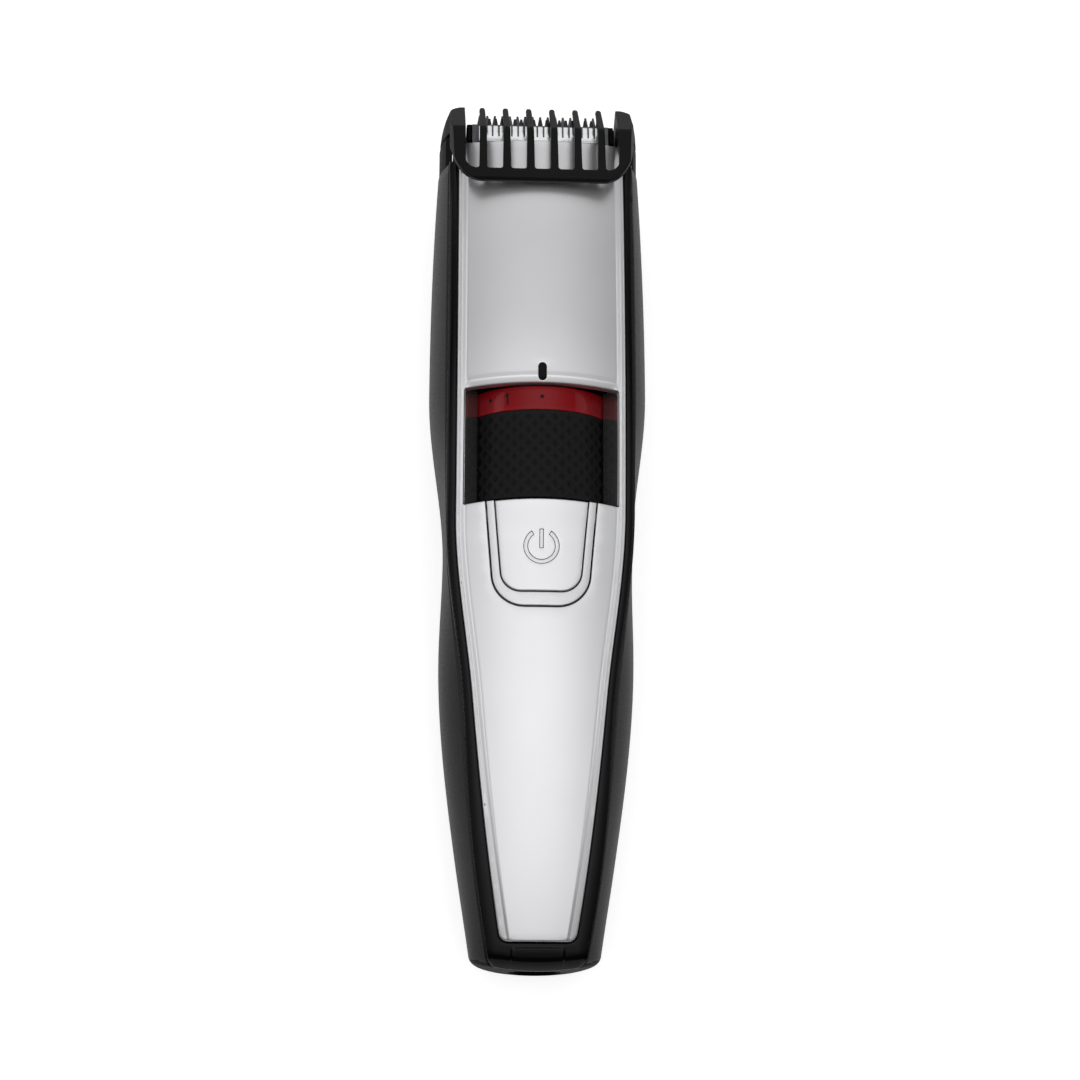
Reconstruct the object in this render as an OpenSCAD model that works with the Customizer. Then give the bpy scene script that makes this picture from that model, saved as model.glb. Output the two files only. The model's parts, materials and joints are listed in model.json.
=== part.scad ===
// Beard trimmer with a length dial, a sliding guard comb and a driven cutter.
// It lies on its back: +Y points to the cutter, +Z out of the front, X across the body.
// Every piece is drawn with y = 0 at the tail end and moved to the middle at the end of the file.

/* [Body] */
// Length of the body from the tail end to the top of the side walls
body_l = 171.5; // [165:0.5:206]
// Width of the tail
tail_w = 28.1; // [26:0.1:34]
// Width of the lower swelling
bulge_w = 41.1; // [40:0.1:50]
// Width of the waist under the dial
waist_w = 39.8; // [39:0.1:48]
// Greatest width, at the dial
grip_w = 46.4; // [45:0.1:56]
// Width at the top of the side walls
head_w = 43.6; // [43:0.1:53]
// Wall thickness of the mouldings
wall = 1.8; // [1.4:0.1:2.2]
// Hollow of the back at the waist
waist_rise = 1.6; // [0:0.1:3]
// Rise of the back at the tail end
tail_rise = 6.5; // [4:0.1:7]
// Rise of the back at the top
head_rise = 3.2; // [1:0.1:4]
// Depth of the rounded tail end, seen from the front
tail_round = 4.6; // [3:0.1:6]

/* [Panel] */
// Width of the silver panel at its upper part
panel_w = 35.3; // [34:0.1:37]
// Width of the panel half way down the handle
panel_mid_w = 27.6; // [26:0.1:29]
// Width of the panel at its lower end
panel_foot_w = 15.5; // [14:0.1:18]
// Distance of the panel's lower end from the tail
panel_foot_y = 6.2; // [5:0.1:9]
// How far the panel runs past the side walls at the top
panel_over = 4.0; // [3:0.1:5]
// Thickness of the panel
panel_t = 1.3; // [1:0.1:1.5]
// Width of the flat border along the panel
border_w = 2.1; // [1.6:0.1:2.6]
// Radius of the crowned centre
crown_r = 52; // [45:1:70]
// Width of the gloss band beside the panel
band_w = 2.0; // [1.5:0.1:2.6]

/* [Dial] */
// Outer radius of the dial
dial_r = 15.8; // [13:0.1:16.4]
// Lower edge of the dial, from the tail
dial_y = 95.6; // [94:0.1:98]
// Length of the rubber grip
grip_l = 18.8; // [16:0.1:20]
// Length of the red scale ring
scale_l = 5.1; // [4:0.1:6]
// Comb travel from the shortest to the longest setting
comb_travel = 7; // [5:0.1:8.4]
// Dial turn for one millimetre of travel, in degrees
turn_per_mm = 42; // [36:1:42]
// Half of the angle of the dial that shows in the window
dial_show = 54.7; // [50:0.1:56]

/* [Button] */
// Width of the button at its upper end
button_w = 19.3; // [17:0.1:20]
// Width of the button at its lower end
button_foot_w = 16.6; // [15:0.1:18]
// Length of the button
button_l = 19.0; // [16:0.1:21]
// Width of the trim round the button
bezel_w = 1.75; // [1.4:0.05:2.2]
// Press travel of the button
button_travel = 0.8; // [0.5:0.1:1]

/* [Comb] */
// Distance from the side walls' top to the tips of the comb
comb_rise = 13.9; // [13.5:0.1:16]
// Number of teeth between the side walls
comb_teeth = 6; // [4:1:8]
// Thickness of a tooth at the bar
tooth_t = 1.7; // [1.2:0.1:2.2]
// Thickness of a tooth at its tip
tooth_tip_t = 1.2; // [0.8:0.1:1.6]
// Clear height between the panel and the bar of the comb
comb_gap = 0.7; // [0.5:0.1:4]
// Depth of the bar of the comb
bar_t = 2.6; // [2:0.1:5]

/* [Cutter] */
// Width of the cutter
blade_w = 29.4; // [24:0.1:30]
// Tooth pitch of the fixed blade
fixed_pitch = 1.64; // [1.5:0.01:2]
// Tooth pitch of the moving blade
moving_pitch = 1.38; // [1.3:0.01:1.8]
// Tilt of the cutter against the body
blade_tilt = 12; // [8:1:14]
// Stroke of the moving blade to each side
stroke = 1.2; // [0.8:0.1:1.3]

/* [Drive] */
// Motor diameter
motor_d = 20; // [18:0.1:20.4]
// Motor length
motor_l = 30; // [26:0.5:32]
// Shaft diameter
shaft_d = 2; // [1.5:0.1:2.3]

/* [Power] */
// Battery diameter
cell_d = 14.2; // [12:0.1:17]
// Battery length
cell_l = 49; // [44:0.5:50]
// Radius of the plug recess of the charging inlet
plug_r = 4.4; // [3.5:0.1:4.6]
// Depth of the plug recess
plug_l = 3; // [2.5:0.1:4]

/* [Fits] */
// Gap along the seams of the housing
seam = 0.1; // [0.05:0.05:0.2]
// Radial clearance of a turning or sliding fit
running = 0.08; // [0.04:0.01:0.1]
// Clearance between pieces that move past each other
pass = 0.4; // [0.3:0.05:0.5]

/* [Hidden] */
$fn = 48;
eps = 0.01;
press_gap = 0.02;

// Curves

// Value at y of a curve through rows of [y, value, slope]
function curve(rows, y, i = 0) =
    y <= rows[0][0] ? rows[0][1] + rows[0][2] * (y - rows[0][0]) :
    i >= len(rows) - 1 ? rows[i][1] + rows[i][2] * (y - rows[i][0]) :
    y <= rows[i + 1][0] ? span(rows[i], rows[i + 1], y) : curve(rows, y, i + 1);
function span(a, b, y) = let (l = b[0] - a[0], t = (y - a[0]) / l)
    a[1] * (2 * t ^ 3 - 3 * t ^ 2 + 1) + a[2] * l * (t ^ 3 - 2 * t ^ 2 + t)
    + b[1] * (3 * t ^ 2 - 2 * t ^ 3) + b[2] * l * (t ^ 3 - t ^ 2);

// Heights

dial_end_y = dial_y + grip_l + scale_l;
floor_gap = 1.9;
axis_z = wall + floor_gap + dial_r;
dial_top_z = axis_z + dial_r;
lip_rise = 1.3;
lip_z = dial_top_z + lip_rise;
window_gap = 0.4;
window_y0 = dial_y - window_gap;
window_y1 = dial_end_y + window_gap;

// Rails of the comb and the carriage arms round them, which pass the wall at the dial and at the top
rail_inset = 4.8;
rail_in = min(head_w, grip_w) / 2 - rail_inset;
rail_out = rail_in + 1.6;
rail_z0 = 13.3;
rail_z1 = 19.7;
arm_wall = 0.8;
arm_in = rail_in - arm_wall;

// Side legs of the comb, outside the cutter and its end blocks
leg_t = 1.9;
block_in = blade_w / 2 + 0.15;
block_out = block_in + 1.1;
leg_x0 = block_out + pass;
leg_x1 = leg_x0 + leg_t;
comb_pitch = 2 * (leg_x0 + 1.3) / (comb_teeth + 1);

// Stations along the body
bulge_y = 64.5;
waist_y = 86.5;
grip_y = 122;
swell_y = 30;
flat_end_y = 62;
flat_start_y = 110;
flat_top_y = body_l - 21.5;
mid_y = 54.5;

function half_w(y) = curve([[tail_round, tail_w / 2, 0.13], [bulge_y, bulge_w / 2, 0],
    [waist_y, waist_w / 2, 0], [grip_y, grip_w / 2, 0], [body_l, head_w / 2, -0.06]], y);
function back_z(y) = curve([[0, tail_rise, -0.9], [8, tail_rise * 0.4, -0.25], [swell_y, 0, 0],
    [flat_end_y, 0, 0], [waist_y, waist_rise, 0], [flat_start_y, 0, 0], [flat_top_y, 0, 0],
    [body_l, head_rise, 0.2]], y);
// Line along the middle of the front
function front_z(y) = lip_z - curve([[0, 12.2, -0.75], [panel_foot_y, 9.6, -0.24], [35, 5.3, -0.1],
    [waist_y, 2.2, -0.06], [dial_y, 1.0, -0.1], [dial_end_y, 0, 0],
    [body_l - 22, 1.7, 0.09], [body_l, 4.7, 0.16]], y);

// Panel outline and its cross-section
function panel_half(y) = curve([[panel_foot_y, panel_foot_w / 2, 0.165],
    [mid_y, panel_mid_w / 2, 0.092], [window_y0 - 2, panel_w / 2, 0], [body_l, panel_w / 2, 0]], y);
function crease_half(y) = panel_half(y) - border_w;
function raise(y) = curve([[panel_foot_y, 0.25, 0], [60, 0.7, 0], [body_l, 0.7, 0]], y);
border_drop = 0.4;
function crown_z(x, y) = front_z(y) - x ^ 2 / (2 * crown_r);
function border_z(y) = crown_z(crease_half(y), y) - raise(y);
function edge_z(y) = border_z(y) - border_drop;

// Seam between the back shell and the front frame
seam_drop = 2.6;
function seam_z(y) = edge_z(y) - seam_drop;
function seam_half(y) = panel_half(y) + curve([[15, band_w + 1, 0], [60, band_w, 0], [body_l, band_w, 0]], y);

// Plate of the frame that the panel sits on
plate_t = 1.4;
function plate_z(y) = edge_z(y) - panel_t - seam / 2;

// Cross-section of the back shell from the middle of the back to the seam, inset from the outside
flat_share = 0.42;
belt_share = 0.52;
round_power = 2 / 2.4;
low_steps = 6;
high_steps = 4;
function shell_half(y, inset) = let (w = half_w(y), b = w * flat_share, z0 = back_z(y), z2 = seam_z(y),
        z1 = z0 + (z2 - z0) * belt_share, top = seam_half(y) - inset)
    concat([for (i = [0:low_steps]) let (t = 90 * i / low_steps)
            [b + (w - inset - b) * sin(t) ^ round_power, z1 - (z1 - z0 - inset) * cos(t) ^ round_power]],
        [for (i = [1:high_steps]) let (t = i / high_steps)
            [w - inset - (w - inset - top) * t ^ 2, z1 + (z2 - z1) * t]]);
function mirrored(half) = concat(half, [for (i = [len(half) - 1:-1:0]) [-half[i][0], half[i][1]]]);
function shell_loop(y, inset, top_rise = 0) = let (half = shell_half(y, inset), last = half[len(half) - 1])
    mirrored(top_rise == 0 ? half : concat(half, [[last[0], last[1] + top_rise]]));

// Lofted solid through closed loops of [x, z] at the given stations
module loft(stations, loops) {
    n = len(loops[0]);
    m = len(stations);
    points = [for (i = [0:m - 1], p = loops[i]) [p[0], stations[i], p[1]]];
    sides = [for (i = [0:m - 2], j = [0:n - 1]) let (k = (j + 1) % n, a = i * n, b = a + n)
        each [[a + j, a + k, b + k], [a + j, b + k, b + j]]];
    first = [for (j = [n - 1:-1:0]) j];
    last = [for (j = [0:n - 1]) (m - 1) * n + j];
    polyhedron(points, concat([first], sides, [last]), convexity = 6);
}
// Stations from a to b, with steps of about the given size
function stations(a, b, step) = let (n = ceil((b - a) / step)) [for (i = [0:n]) a + (b - a) * i / n];
body_step = 6;

// Slab that follows the crowned front between two offsets from it
slab_steps = 10;
module crown_slab(y0, y1, half, high, low) {
    ys = stations(y0, y1, 4);
    xs = [for (i = [0:slab_steps]) half * (2 * i / slab_steps - 1)];
    loft(ys, [for (y = ys) concat([for (x = xs) [x, crown_z(x, y) + low]],
        [for (i = [slab_steps:-1:0]) [xs[i], crown_z(xs[i], y) + high]])]);
}

// Outline helpers

// Points of an arc round c from angle a to angle b
function arc(c, r, a, b, n = 8) = [for (i = [0:n]) let (t = a + (b - a) * i / n) c + r * [cos(t), sin(t)]];
// Points of an arc of radius r that rounds the corner k between a and b
function rounded(a, k, b, r, n = 5) = let (u = (a - k) / norm(a - k), v = (b - k) / norm(b - k),
        half = acos(u * v) / 2, c = k + (u + v) / norm(u + v) * r / sin(half), p = k + u * r / tan(half) - c,
        q = k + v * r / tan(half) - c, a0 = atan2(p[1], p[0]), turn = atan2(q[1], q[0]) - a0)
    arc(c, r, a0, a0 + (turn > 180 ? turn - 360 : turn < -180 ? turn + 360 : turn), n);
// Extrusions whose profile is drawn as [y, z] or [x, z]
module along_x(w) {
    translate([-w / 2, 0, 0]) rotate([90, 0, 90]) linear_extrude(w) children();
}
module along_y(y, l) {
    translate([0, y + l, 0]) rotate([90, 0, 0]) linear_extrude(l) children();
}
// Cylinder along Y from y with length l, round the dial axis by default
module rod(r, y, l, x = 0, z = axis_z) {
    translate([x, y, z]) rotate([-90, 0, 0]) cylinder(r = r, h = l);
}
module ring(r, bore, y, l, z = axis_z) {
    difference() {
        rod(r, y, l, 0, z);
        rod(bore, y - eps, l + 2 * eps, 0, z);
    }
}
// Box given by its lowest and highest corners
module block(a, b) {
    translate(a) cube(b - a);
}
module both_sides() {
    children();
    mirror([1, 0, 0]) children();
}
// Outline of the tail seen from the front, as wide as the body elsewhere
module tail_outline(inset) {
    a = tail_w / 2 + 3;
    far = body_l + 60;
    deep = tail_round * 1.25;
    polygon(concat([for (t = [-90:7.5:90]) [a * sin(t), inset + deep * (1 - cos(t) ^ 0.9)]],
        [[far, deep + inset], [far, far], [-far, far], [-far, deep + inset]]));
}

// Screw places under the panel
tail_screw = [5, 18];
head_screw = [13.6, body_l - 19.5];
boss_r = 2.3;
screw_r = 1.0;
screw_head_r = 1.9;
head_h = 0.5;
module screw_places() {
    for (p = [tail_screw, head_screw]) both_sides() translate([p[0], p[1], 0]) children();
}
function boss_top(p) = plate_z(p[1]) - plate_t - seam;

// Housing

socket_z = 14;
socket_r = plug_r + 1;
contact_r = 0.7;
module back_shell() color([0.2, 0.2, 0.2]) {
    outer = concat([0, 2.3, 4.6], stations(8, body_l, body_step));
    inner = concat(stations(tail_round - 1, 8, 4), stations(14, body_l, body_step), [body_l + 1]);
    difference() {
        intersection() {
            loft(outer, [for (y = outer) shell_loop(y, 0)]);
            linear_extrude(2 * lip_z) tail_outline(0);
        }
        intersection() {
            loft(inner, [for (y = inner) shell_loop(min(y, body_l), wall, 1)]);
            linear_extrude(2 * lip_z) tail_outline(wall);
        }
        rod(socket_r + seam, -1, wall + 8, 0, socket_z);
    }
    intersection() {
        for (p = [tail_screw, head_screw]) both_sides() shell_boss(p);
        loft(outer, [for (y = outer) shell_loop(y, wall / 2)]);
    }
}
// Screw boss that stands on the floor of the shell, with two gussets
module shell_boss(p) {
    base = back_z(p[1]);
    rib_t = 1;
    rib_run = 2;
    rib_h = (boss_top(p) - base) * 0.7;
    difference() {
        translate([p[0], p[1], base]) cylinder(r = boss_r, h = boss_top(p) - base, $fn = 16);
        translate([p[0], p[1], boss_top(p) - 8]) cylinder(r = screw_r + seam, h = lip_z, $fn = 16);
    }
    for (s = [-1, 1]) translate([p[0] - rib_t / 2, p[1] - rib_t / 2, base]) hull() {
        translate([0, s * boss_r, 0]) cube([rib_t, rib_t, rib_h]);
        translate([0, s * (boss_r + rib_run), 0]) cube([rib_t, rib_t, rib_h * 0.4]);
    }
}

ledge_w = 3.2;
opening_y0 = window_y0 - button_l - 6.5;
module front_frame() color([0.04, 0.04, 0.045]) {
    ys = concat([0, 2.3], stations(tail_round, body_l, body_step));
    seat = concat([panel_foot_y - seam], stations(9, body_l + 1, body_step));
    inner = stations(tail_round - 1, body_l + 1, body_step);
    difference() {
        intersection() {
            loft(ys, [for (y = ys) band_loop(y)]);
            linear_extrude(2 * lip_z) tail_outline(0);
        }
        loft(seat, [for (y = seat) let (x = panel_half(y) + seam)
            mirrored([[x, plate_z(y)], [x, lip_z + 5]])]);
        intersection() {
            loft(inner, [for (y = inner) let (x = seam_half(min(y, body_l)) - wall)
                mirrored([[x, seam_z(y) - 1], [x, seam_z(y) + seam],
                    [panel_half(min(y, body_l)) - 0.6, plate_z(y) - plate_t]])]);
            linear_extrude(2 * lip_z) tail_outline(wall);
        }
        linear_extrude(2 * lip_z) frame_opening();
        block([-well_half, window_y0 - window_gap, 0], [well_half, window_y1 + window_gap, 2 * lip_z]);
        screw_places() cylinder(r = screw_r + seam, h = 2 * lip_z, $fn = 16);
    }
    both_sides() screw_tab(head_screw);
    for (y = [84, 128, 160]) both_sides() ledge_rib(y);
}
// Section of the frame above the seam: a slightly rounded band and a top with a raised middle
band_sink = 0.35;
band_swell = 0.45;
band_edge = 0.3;
facet_rise = 0.3;
facet_run = 0.6;
function band_loop(y) = let (p = panel_half(y) + seam, q = seam_half(y), c = crease_half(y),
        z0 = seam_z(y) + seam, z1 = edge_z(y) - band_sink)
    mirrored([[q, z0], [(p + q) / 2 + band_swell, (z0 + z1) / 2 + band_swell], [p + band_edge, z1],
        [c + facet_run, z1], [c, z1 + facet_rise]]);
module frame_opening() {
    ys = stations(opening_y0, body_l + 1, body_step);
    right = [for (y = ys) [panel_half(min(y, body_l)) - ledge_w, y]];
    polygon(concat(right, [for (i = [len(right) - 1:-1:0]) [-right[i][0], right[i][1]]]));
}
// Tab that carries a screw inwards of the ledge
module screw_tab(p) {
    z = plate_z(p[1]) - plate_t;
    difference() {
        hull() {
            translate([p[0], p[1], z]) cylinder(r = boss_r, h = plate_t, $fn = 16);
            translate([panel_half(p[1]) - ledge_w + 0.8, p[1] - 4, z]) cube([0.6, 8, plate_t]);
        }
        translate([p[0], p[1], 0]) cylinder(r = screw_r + seam, h = 2 * lip_z, $fn = 16);
    }
}
// Short rib that stiffens the ledge from below
module ledge_rib(y) {
    x = panel_half(y) - ledge_w + 1.2;
    z = plate_z(y) - plate_t;
    hull() {
        translate([x, y - 1, z - 0.4]) cube([1.2, 2, 0.9]);
        translate([x + 0.6, y - 0.6, z - 1.4]) cube([0.6, 1.2, 0.1]);
    }
}

// Front panel

panel_end_y = body_l + panel_over;
crown_steps = 5;
crease_run = 0.5;
// Panel section: underside from left to right, then the top back from right to left
function panel_loop(y) = let (c = crease_half(y), p = panel_half(y), t = panel_t, n = crown_steps,
        top = concat([[-p, edge_z(y)], [-c - crease_run, border_z(y)]],
            [for (i = [-n:n]) let (x = c * i / n) [x, crown_z(x, y)]],
            [[c + crease_run, border_z(y)], [p, edge_z(y)]]), last = len(top) - 1)
    concat([for (q = top) [q[0], q[1] - t]], [for (i = [last:-1:0]) top[i]]);
module panel_outline() {
    foot_r = 2.1;
    x = panel_foot_w / 2 - foot_r + 0.3;
    far = body_l + 60;
    polygon(concat(arc([x, panel_foot_y + foot_r], foot_r, -90, 0), [[x + foot_r, panel_foot_y + foot_r],
        [far, panel_foot_y + foot_r + 1], [far, far], [-far, far], [-far, panel_foot_y + foot_r + 1],
        [-x - foot_r, panel_foot_y + foot_r]], arc([-x, panel_foot_y + foot_r], foot_r, 180, 270)));
}
window_half = panel_w / 2 - border_w + crease_run + 0.15;
// Lip that rolls down to the upper edge of the dial window
lip_half = panel_w / 2 - border_w;
lip_run = 2.1;
lip_drop = 1.6;
lip_t = 2.3;
lip_l = 3.2;
lip_steps = 6;
module lip_roll() {
    ys = concat([window_y1 - 1],
        [for (i = [0:lip_steps]) window_y1 + lip_run * (1 - cos(90 * i / lip_steps))]);
    drops = concat([lip_drop], [for (i = [0:lip_steps]) lip_drop * (1 - sin(90 * i / lip_steps))]);
    xs = [for (i = [0:slab_steps]) lip_half * (2 * i / slab_steps - 1)];
    loft(ys, [for (i = [0:len(ys) - 1]) concat([for (x = xs) [x, crown_z(x, ys[i]) - drops[i]]],
        [[lip_half, lip_z + 5], [-lip_half, lip_z + 5]])]);
}
module front_panel() color([0.72, 0.72, 0.72]) {
    ys = stations(panel_foot_y - 0.6, panel_end_y, 5);
    difference() {
        union() {
            intersection() {
                loft(ys, [for (y = ys) panel_loop(y)]);
                linear_extrude(2 * lip_z) panel_outline();
            }
            crown_slab(window_y1 - 1, window_y1 + lip_l, lip_half, -panel_t / 2, -lip_t);
        }
        lip_roll();
        block([-window_half, window_y0, 0], [window_half, window_y1, 2 * lip_z]);
        linear_extrude(2 * lip_z) trim_outline(bezel_w + seam, 1);
        linear_extrude(2 * lip_z) pointer_outline(seam);
    }
    for (y = [32, 50, 132, body_l - 8]) both_sides() panel_hook(y);
}
// Hook that grips the ledge of the frame from inside
module panel_hook(y) {
    w = 4;
    x = panel_half(y) - ledge_w - 0.3;
    top = crown_z(min(x, crease_half(y)), y) - panel_t + 0.3;
    deep = y < opening_y0 ? plate_z(y) + 0.3 : plate_z(y) - plate_t - 0.9;
    hull() {
        translate([x - 1.2, y - w / 2, top - 0.3]) cube([1.2, w, 0.3]);
        translate([x - 0.9, y - w / 2, deep]) cube([0.9, w, 0.1]);
    }
}

// Outline of the button, grown by g, with its upper end moved up by lift
button_y1 = window_y0;
button_y0 = window_y0 - button_l;
button_corner = 4.2;
shut_gap = 0.2;
module trim_outline(g, lift) {
    r = button_corner + g;
    y0 = button_y0 - g;
    foot = button_foot_w / 2 + g - r;
    slope = (button_w - button_foot_w) / 2 / button_l;
    x1 = button_w / 2 + g + slope * lift;
    lean = atan(slope);
    polygon(concat(arc([foot, y0 + r], r, -90, -lean), [[x1, button_y1 + lift], [-x1, button_y1 + lift]],
        arc([-foot, y0 + r], r, 180 + lean, 270)));
}
module button_bezel() color([0.6, 0.6, 0.6]) {
    intersection() {
        crown_slab(button_y0 - 4, button_y1 - seam, panel_w / 2 - 3, 0.25, -2.6);
        linear_extrude(2 * lip_z) difference() {
            trim_outline(bezel_w, -seam);
            trim_outline(shut_gap, 1);
        }
    }
}
pointer_w = 1.7;
pointer_l = 3.6;
pointer_y0 = window_y1 + 0.9;
module pointer_outline(g) {
    r = pointer_w / 2 + g;
    polygon(concat(arc([0, pointer_y0 + pointer_w / 2], r, 180, 360),
        arc([0, pointer_y0 + pointer_l - pointer_w / 2], r, 0, 180)));
}
module pointer_mark() color([0.05, 0.05, 0.05]) {
    intersection() {
        crown_slab(pointer_y0 - 1, pointer_y0 + pointer_l + 1, 3, 0.12, -panel_t);
        linear_extrude(2 * lip_z) pointer_outline(0);
    }
}

// Sloping cheeks at both sides of the dial, each with a foot that grips the ledge from below
cheek_t = 0.9;
cheek_gap = 0.3;
well_half = window_half + cheek_t - 0.1;
cheek_low = [dial_r * sin(dial_show) + cheek_gap, axis_z + dial_r * cos(dial_show) + 0.1];
cheek_high = [window_half - 0.1, border_z(dial_y) - 0.25];
module dial_well() color([0.03, 0.03, 0.035]) {
    foot_z = min(plate_z(window_y0), plate_z(window_y1)) - plate_t - 0.1;
    foot_h = 0.9;
    foot_w = 0.7;
    out = well_half - 0.1;
    neck = 1.5;
    both_sides() along_y(window_y0 + seam, window_y1 - window_y0 - 2 * seam)
        polygon([cheek_low, [out, cheek_low[1]], [out, foot_z - foot_h], [out + foot_w, foot_z - foot_h],
            [out + foot_w, foot_z], [out, foot_z], [out, cheek_high[1] - neck - 0.4],
            [cheek_high[0], cheek_high[1] - neck], cheek_high]);
}

// Dial

drum_r = dial_r - 1.5;
drum_bore = drum_r - 1.9;
drum_y0 = dial_y - 0.3;
cam_y0 = dial_end_y + 1.2;
groove_w = 2.5;
groove_depth = 1.1;
pin_r = 1.0;
lead = 360 / turn_per_mm;
cam_turn = comb_travel * turn_per_mm;
cam_pin_y = cam_y0 + 3.4;
drum_y1 = cam_pin_y + comb_travel + 3.4;
module dial_drum() color([0.12, 0.12, 0.13]) {
    difference() {
        ring(drum_r, drum_bore, drum_y0, drum_y1 - drum_y0);
        cam_groove();
    }
}
// Helical channel in the drum: its place under the pin climbs by one lead for each turn of the dial
module cam_groove() {
    run_on = 6;
    step = 7;
    angles = [for (t = [-run_on:step:cam_turn + run_on + step]) t];
    half_pin = groove_w / 2;
    r0 = drum_r - groove_depth;
    r1 = drum_r + 1;
    loop = [[r0, -half_pin], [r1, -half_pin], [r1, half_pin], [r0, half_pin]];
    n = len(loop);
    m = len(angles);
    points = [for (t = angles, q = loop) let (a = 270 + t)
        [q[0] * cos(a), cam_pin_y + t / turn_per_mm + q[1], axis_z + q[0] * sin(a)]];
    sides = [for (i = [0:m - 2], j = [0:n - 1]) let (k = (j + 1) % n, a = i * n, b = a + n)
        each [[a + j, b + k, a + k], [a + j, b + j, b + k]]];
    first = [for (j = [0:n - 1]) j];
    last = [for (j = [n - 1:-1:0]) (m - 1) * n + j];
    polyhedron(points, concat([first], sides, [last]));
}
module dial_grip() color([0.08, 0.08, 0.08]) {
    ring(dial_r, drum_r, dial_y, grip_l);
}
module dial_scale_ring() color([0.5, 0.06, 0.08]) {
    ring(dial_r, drum_r, dial_y + grip_l, scale_l);
}

// Chassis tube that the drum turns on, with a bulkhead across the shell

tube_r = drum_bore - running;
tube_bore = motor_d / 2 + 0.75;
collar_r = drum_bore + 0.6;
bulkhead_y = dial_y - 3.6;
bulkhead_t = 2;
motor_y1 = body_l - 13;
motor_y0 = motor_y1 - motor_l;
sleeve_l = 8;
tube_end_y = max(drum_y1 + 3.6, motor_y0 + sleeve_l + 1.6);
clip_t = 1.4;
clip_y = drum_y1 + 0.4;
clip_groove = 0.8;
module shell_plate(y, t, z_top, inset = 0.3) {
    loop = shell_loop(y + t / 2, wall + inset);
    along_y(y, t) intersection() {
        polygon(loop);
        translate([-40, -1]) square([80, z_top + 1]);
    }
}
module chassis() color([0.85, 0.85, 0.83]) {
    difference() {
        union() {
            shell_plate(bulkhead_y, bulkhead_t, seam_z(bulkhead_y) - 1);
            rod(collar_r, bulkhead_y, drum_y0 - 0.1 - bulkhead_y);
            rod(tube_r, bulkhead_y, tube_end_y - bulkhead_y);
        }
        block([-30, bulkhead_y - 1, axis_z + 10.2], [30, drum_y0 - 0.1, 2 * lip_z]);
        rod(tube_bore, bulkhead_y - 1, tube_end_y);
        ring(tube_r + 1, tube_r - clip_groove, clip_y - 0.05, clip_t + 0.1);
    }
}
module drum_retainer() color([0.7, 0.7, 0.7]) {
    difference() {
        ring(drum_r + 0.2, tube_r - clip_groove + press_gap, clip_y, clip_t);
        along_y(clip_y - 1, clip_t + 2) translate([0, axis_z]) polygon([[0, 0], [9, 22], [-9, 22]]);
    }
}
// Leaf on the bulkhead whose bump faces the end of the drum
detent_angle = 65;
module detent_spring() color([0.75, 0.75, 0.7]) {
    y = bulkhead_y + bulkhead_t;
    leaf_t = 0.4;
    bump = 0.8;
    translate([0, 0, axis_z]) rotate([0, detent_angle, 0]) {
        block([-5, y, -drum_r - 0.8], [5, y + leaf_t, -collar_r - 0.15]);
        block([-bump, y, -drum_r], [bump, drum_y0 - 0.3, -collar_r - 0.2]);
    }
}

// Motor and drive

mount_t = 2;
mount_screw_x = 6.5;
motor_boss_r = 3;
terminal_x = 6;
module motor_can() color([0.72, 0.72, 0.7]) {
    difference() {
        union() {
            rod(motor_d / 2, motor_y0, motor_l);
            rod(motor_boss_r, motor_y1, 1.5);
        }
        rod(shaft_d / 2 + running, motor_y0 - 1, motor_l + 4);
    }
}
module motor_end_cap() color([0.15, 0.15, 0.16]) {
    difference() {
        rod(motor_d / 2 - 0.3, motor_y0 - 2.5, 2.5);
        rod(shaft_d / 2 + running, motor_y0 - 3, 4);
        both_sides() block([terminal_x - 1.3, motor_y0 - 3, axis_z - 0.4],
            [terminal_x + 1.3, motor_y0 + 1, axis_z + 0.4]);
    }
}
module motor_terminals() color([0.8, 0.65, 0.3]) {
    both_sides() block([terminal_x - 1.2, motor_y0 - 5.5, axis_z - 0.3],
        [terminal_x + 1.2, motor_y0 - 0.2, axis_z + 0.3]);
}
module motor_sleeve() color([0.2, 0.2, 0.2]) {
    ring(tube_bore - press_gap, motor_d / 2 + press_gap, motor_y0 + 1, sleeve_l);
}
module motor_mount() color([0.85, 0.85, 0.83]) {
    difference() {
        intersection() {
            shell_plate(motor_y1, mount_t, seam_z(motor_y1) - 2.4);
            block([-arm_in + pass, 0, 0], [arm_in - pass, body_l, lip_z]);
        }
        rod(motor_boss_r + 0.05, motor_y1 - 1, 4);
        for (s = [-1, 1]) rod(screw_r + 0.05, motor_y1 - 1, 4, s * mount_screw_x);
        for (s = [-1, 1]) rod(boss_r + 0.4, motor_y1 - 1, 4, s * head_screw[0], axis_z);
    }
}
module motor_screws() color([0.6, 0.6, 0.62]) {
    for (s = [-1, 1]) {
        rod(screw_r, motor_y1, mount_t, s * mount_screw_x);
        rod(screw_head_r, motor_y1 + mount_t, 0.9, s * mount_screw_x);
    }
}
cam_disc_r = 4.5;
cam_disc_y = motor_y1 + mount_t + 1.4;
cam_disc_l = 3.6;
flange_y = body_l - 2.6;
yoke_y = body_l + 1.0;
module motor_shaft() color([0.8, 0.8, 0.8]) {
    rod(shaft_d / 2, motor_y0 - 2, cam_disc_y + cam_disc_l - motor_y0 + 1);
}
module eccentric_cam() color([0.9, 0.9, 0.88]) {
    difference() {
        rod(cam_disc_r, cam_disc_y, cam_disc_l);
        rod(shaft_d / 2, cam_disc_y - 1, cam_disc_l);
    }
    rod(1, cam_disc_y + cam_disc_l - eps, yoke_y - 0.4 - cam_disc_y - cam_disc_l, 0, axis_z + stroke);
}

// Power supply

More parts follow.
